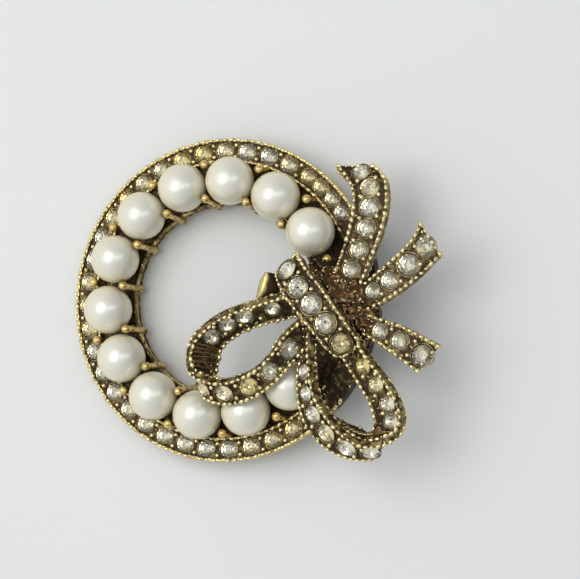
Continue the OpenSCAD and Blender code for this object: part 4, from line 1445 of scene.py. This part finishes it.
def make_bow():
    """Ribbons, gathered middle, tab, milgrain, grains, ribs and stones of the bow."""
    stands_for = ["bow_casting"]
    fleck_places = []
    for ribbon in RIBBONS:
        band = band_mesh(ribbon)
        fleck_places += fleck_seats(band, BAND_FLECKS, 0, stone_seats(ribbon))
        piece(ribbon.name + "_band", band, [BAND_GOLD], stands_for, RIBBON_CREASE)
        seats = [(*gem_seat(ribbon, place, aside, face), (d, d, d))
                 for place, aside, d, face in ribbon.gems]
        set_stones(ribbon.name + "_stones", seats)
        sow(ribbon.name + "_collars", seats, COLLAR_SHAPE, 1.0, BAND_GOLD)
    middle = bow_middle()
    fleck_places += fleck_seats(middle, MIDDLE_FLECKS, FLECK_FROM * BOW_RISE)
    sow("bow_flecks", fleck_places, BALL_SHAPE, GRAIN_R, RIM_GOLD)
    # Its dark finish is patina and painted shade under the knot and loops
    piece("bow_middle", middle, [DARK_GOLD], stands_for, NO_CREASE)
    piece("rolled_tab", rolled_tab(), [LEAF_GOLD], stands_for, TAB_CREASE)
    paths = [path for ribbon in RIBBONS for path in edge_paths(ribbon)]
    paths += [end_path(ribbon, ribbon.last - END_INSET)
              for ribbon in (TAIL_1, TAIL_2, TAIL_3, KNOT)]
    paths.append(end_path(KNOT, END_INSET))
    milgrain = grown("bow_milgrain", paths_mesh(paths), BEADS_ALONG, pitch=MILGRAIN_PITCH,
                     bead_size=MILGRAIN_BEAD, unevenness=0.3, seed=7, material=RIM_GOLD)
    piece("bow_milgrain", milgrain, None, stands_for)
    grains = [seat for ribbon in RIBBONS for seat in grain_seats(ribbon)]
    sow("bow_grains", grains, BALL_SHAPE, GRAIN_R, RIM_GOLD)
    # Ribs inside the loop tips, their darker finish partly painted shade
    ribs = rib_seats(LEFT_LOOP, LEFT_RIBS) + rib_seats(LOWER_LOOP, LOWER_RIBS)
    sow("loop_ribs", ribs, RIB_SHAPE, 1.0, RIB_GOLD)


# Stage

def floor_material():
    """Pale table top."""
    material, tree, shader = new_material("pale_table")
    tint = mixed(tree, noise_over(tree, 9.0, 2.0), (0.70, 0.713, 0.70, 1), (0.74, 0.753, 0.74, 1))
    fill(tree, shader, {"Base Color": tint, "Roughness": 0.45})
    return material


def make_floor():
    """Plain table top under the brooch."""
    half = TABLE_HALF
    mesh = mesh_of("table_top", [(-half, -half, 0), (half, -half, 0), (half, half, 0),
                                 (-half, half, 0)], [(0, 1, 2, 3)])
    mesh.materials.append(floor_material())
    linked("table_top", mesh)


def area_light(name, place, size, power, colour):
    """Soft rectangular light that faces the middle of the scene."""
    data = bpy.data.lights.new(name, "AREA")
    data.shape = "RECTANGLE"
    data.size, data.size_y = size
    data.energy = power
    data.color = colour
    light = linked(name, data)
    light.location = place
    light.rotation_euler = (-Vector(place)).to_track_quat("-Z", "Y").to_euler()


def make_lights():
    """Room that is brighter on its left, a window and a fill light."""
    world = bpy.data.worlds.new("room")
    bpy.context.scene.world = world
    world.use_nodes = True
    tree = world.node_tree
    place = add(tree, "ShaderNodeTexCoord")
    split = add(tree, "ShaderNodeSeparateXYZ", {0: place.outputs["Generated"]})
    ramp = add(tree, "ShaderNodeValToRGB", {0: mapped(tree, split.outputs["X"], (-1.0, 1.0))})
    for element, (spot, colour) in zip(ramp.color_ramp.elements, ROOM_SHADES):
        element.position = spot
        element.color = colour
    fill(tree, tree.nodes["Background"], {"Color": ramp.outputs[0], "Strength": ROOM_LIGHT})
    for light in LIGHTS:
        area_light(*light)


def make_view():
    """Plain view of the colours."""
    bpy.context.scene.view_settings.view_transform = "Standard"


def make_camera():
    """Camera at the photograph's place and angle."""
    normal = Vector((math.sin(VIEW_TILT) * math.cos(VIEW_DIR),
                     math.sin(VIEW_TILT) * math.sin(VIEW_DIR), math.cos(VIEW_TILT)))
    right = Vector((0, 1, 0)).cross(normal).normalized()
    upward = normal.cross(right)
    place = (Vector((0, 0, VIEW_HEIGHT)) + VIEW_AIM[0] * right + VIEW_AIM[1] * upward
             + VIEW_DISTANCE * normal)
    pose = Matrix((right, upward, normal)).transposed().to_4x4()
    pose.translation = place
    data = bpy.data.cameras.new("camera")
    data.lens = LENS
    data.sensor_width = SENSOR_W
    data.clip_start = CLIP_START
    camera = linked("camera", data)
    camera.matrix_world = REST @ pose
    bpy.context.scene.camera = camera


make_camera()
make_view()
make_wreath()
make_pearls()
make_bow()
only_finishes(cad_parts["pin_back"].data, [PIN_STEEL])
for shape in (STONE_SHAPE, BALL_SHAPE, COLLAR_SHAPE, RIB_SHAPE):
    bpy.data.objects.remove(shape)
make_floor()
make_lights()
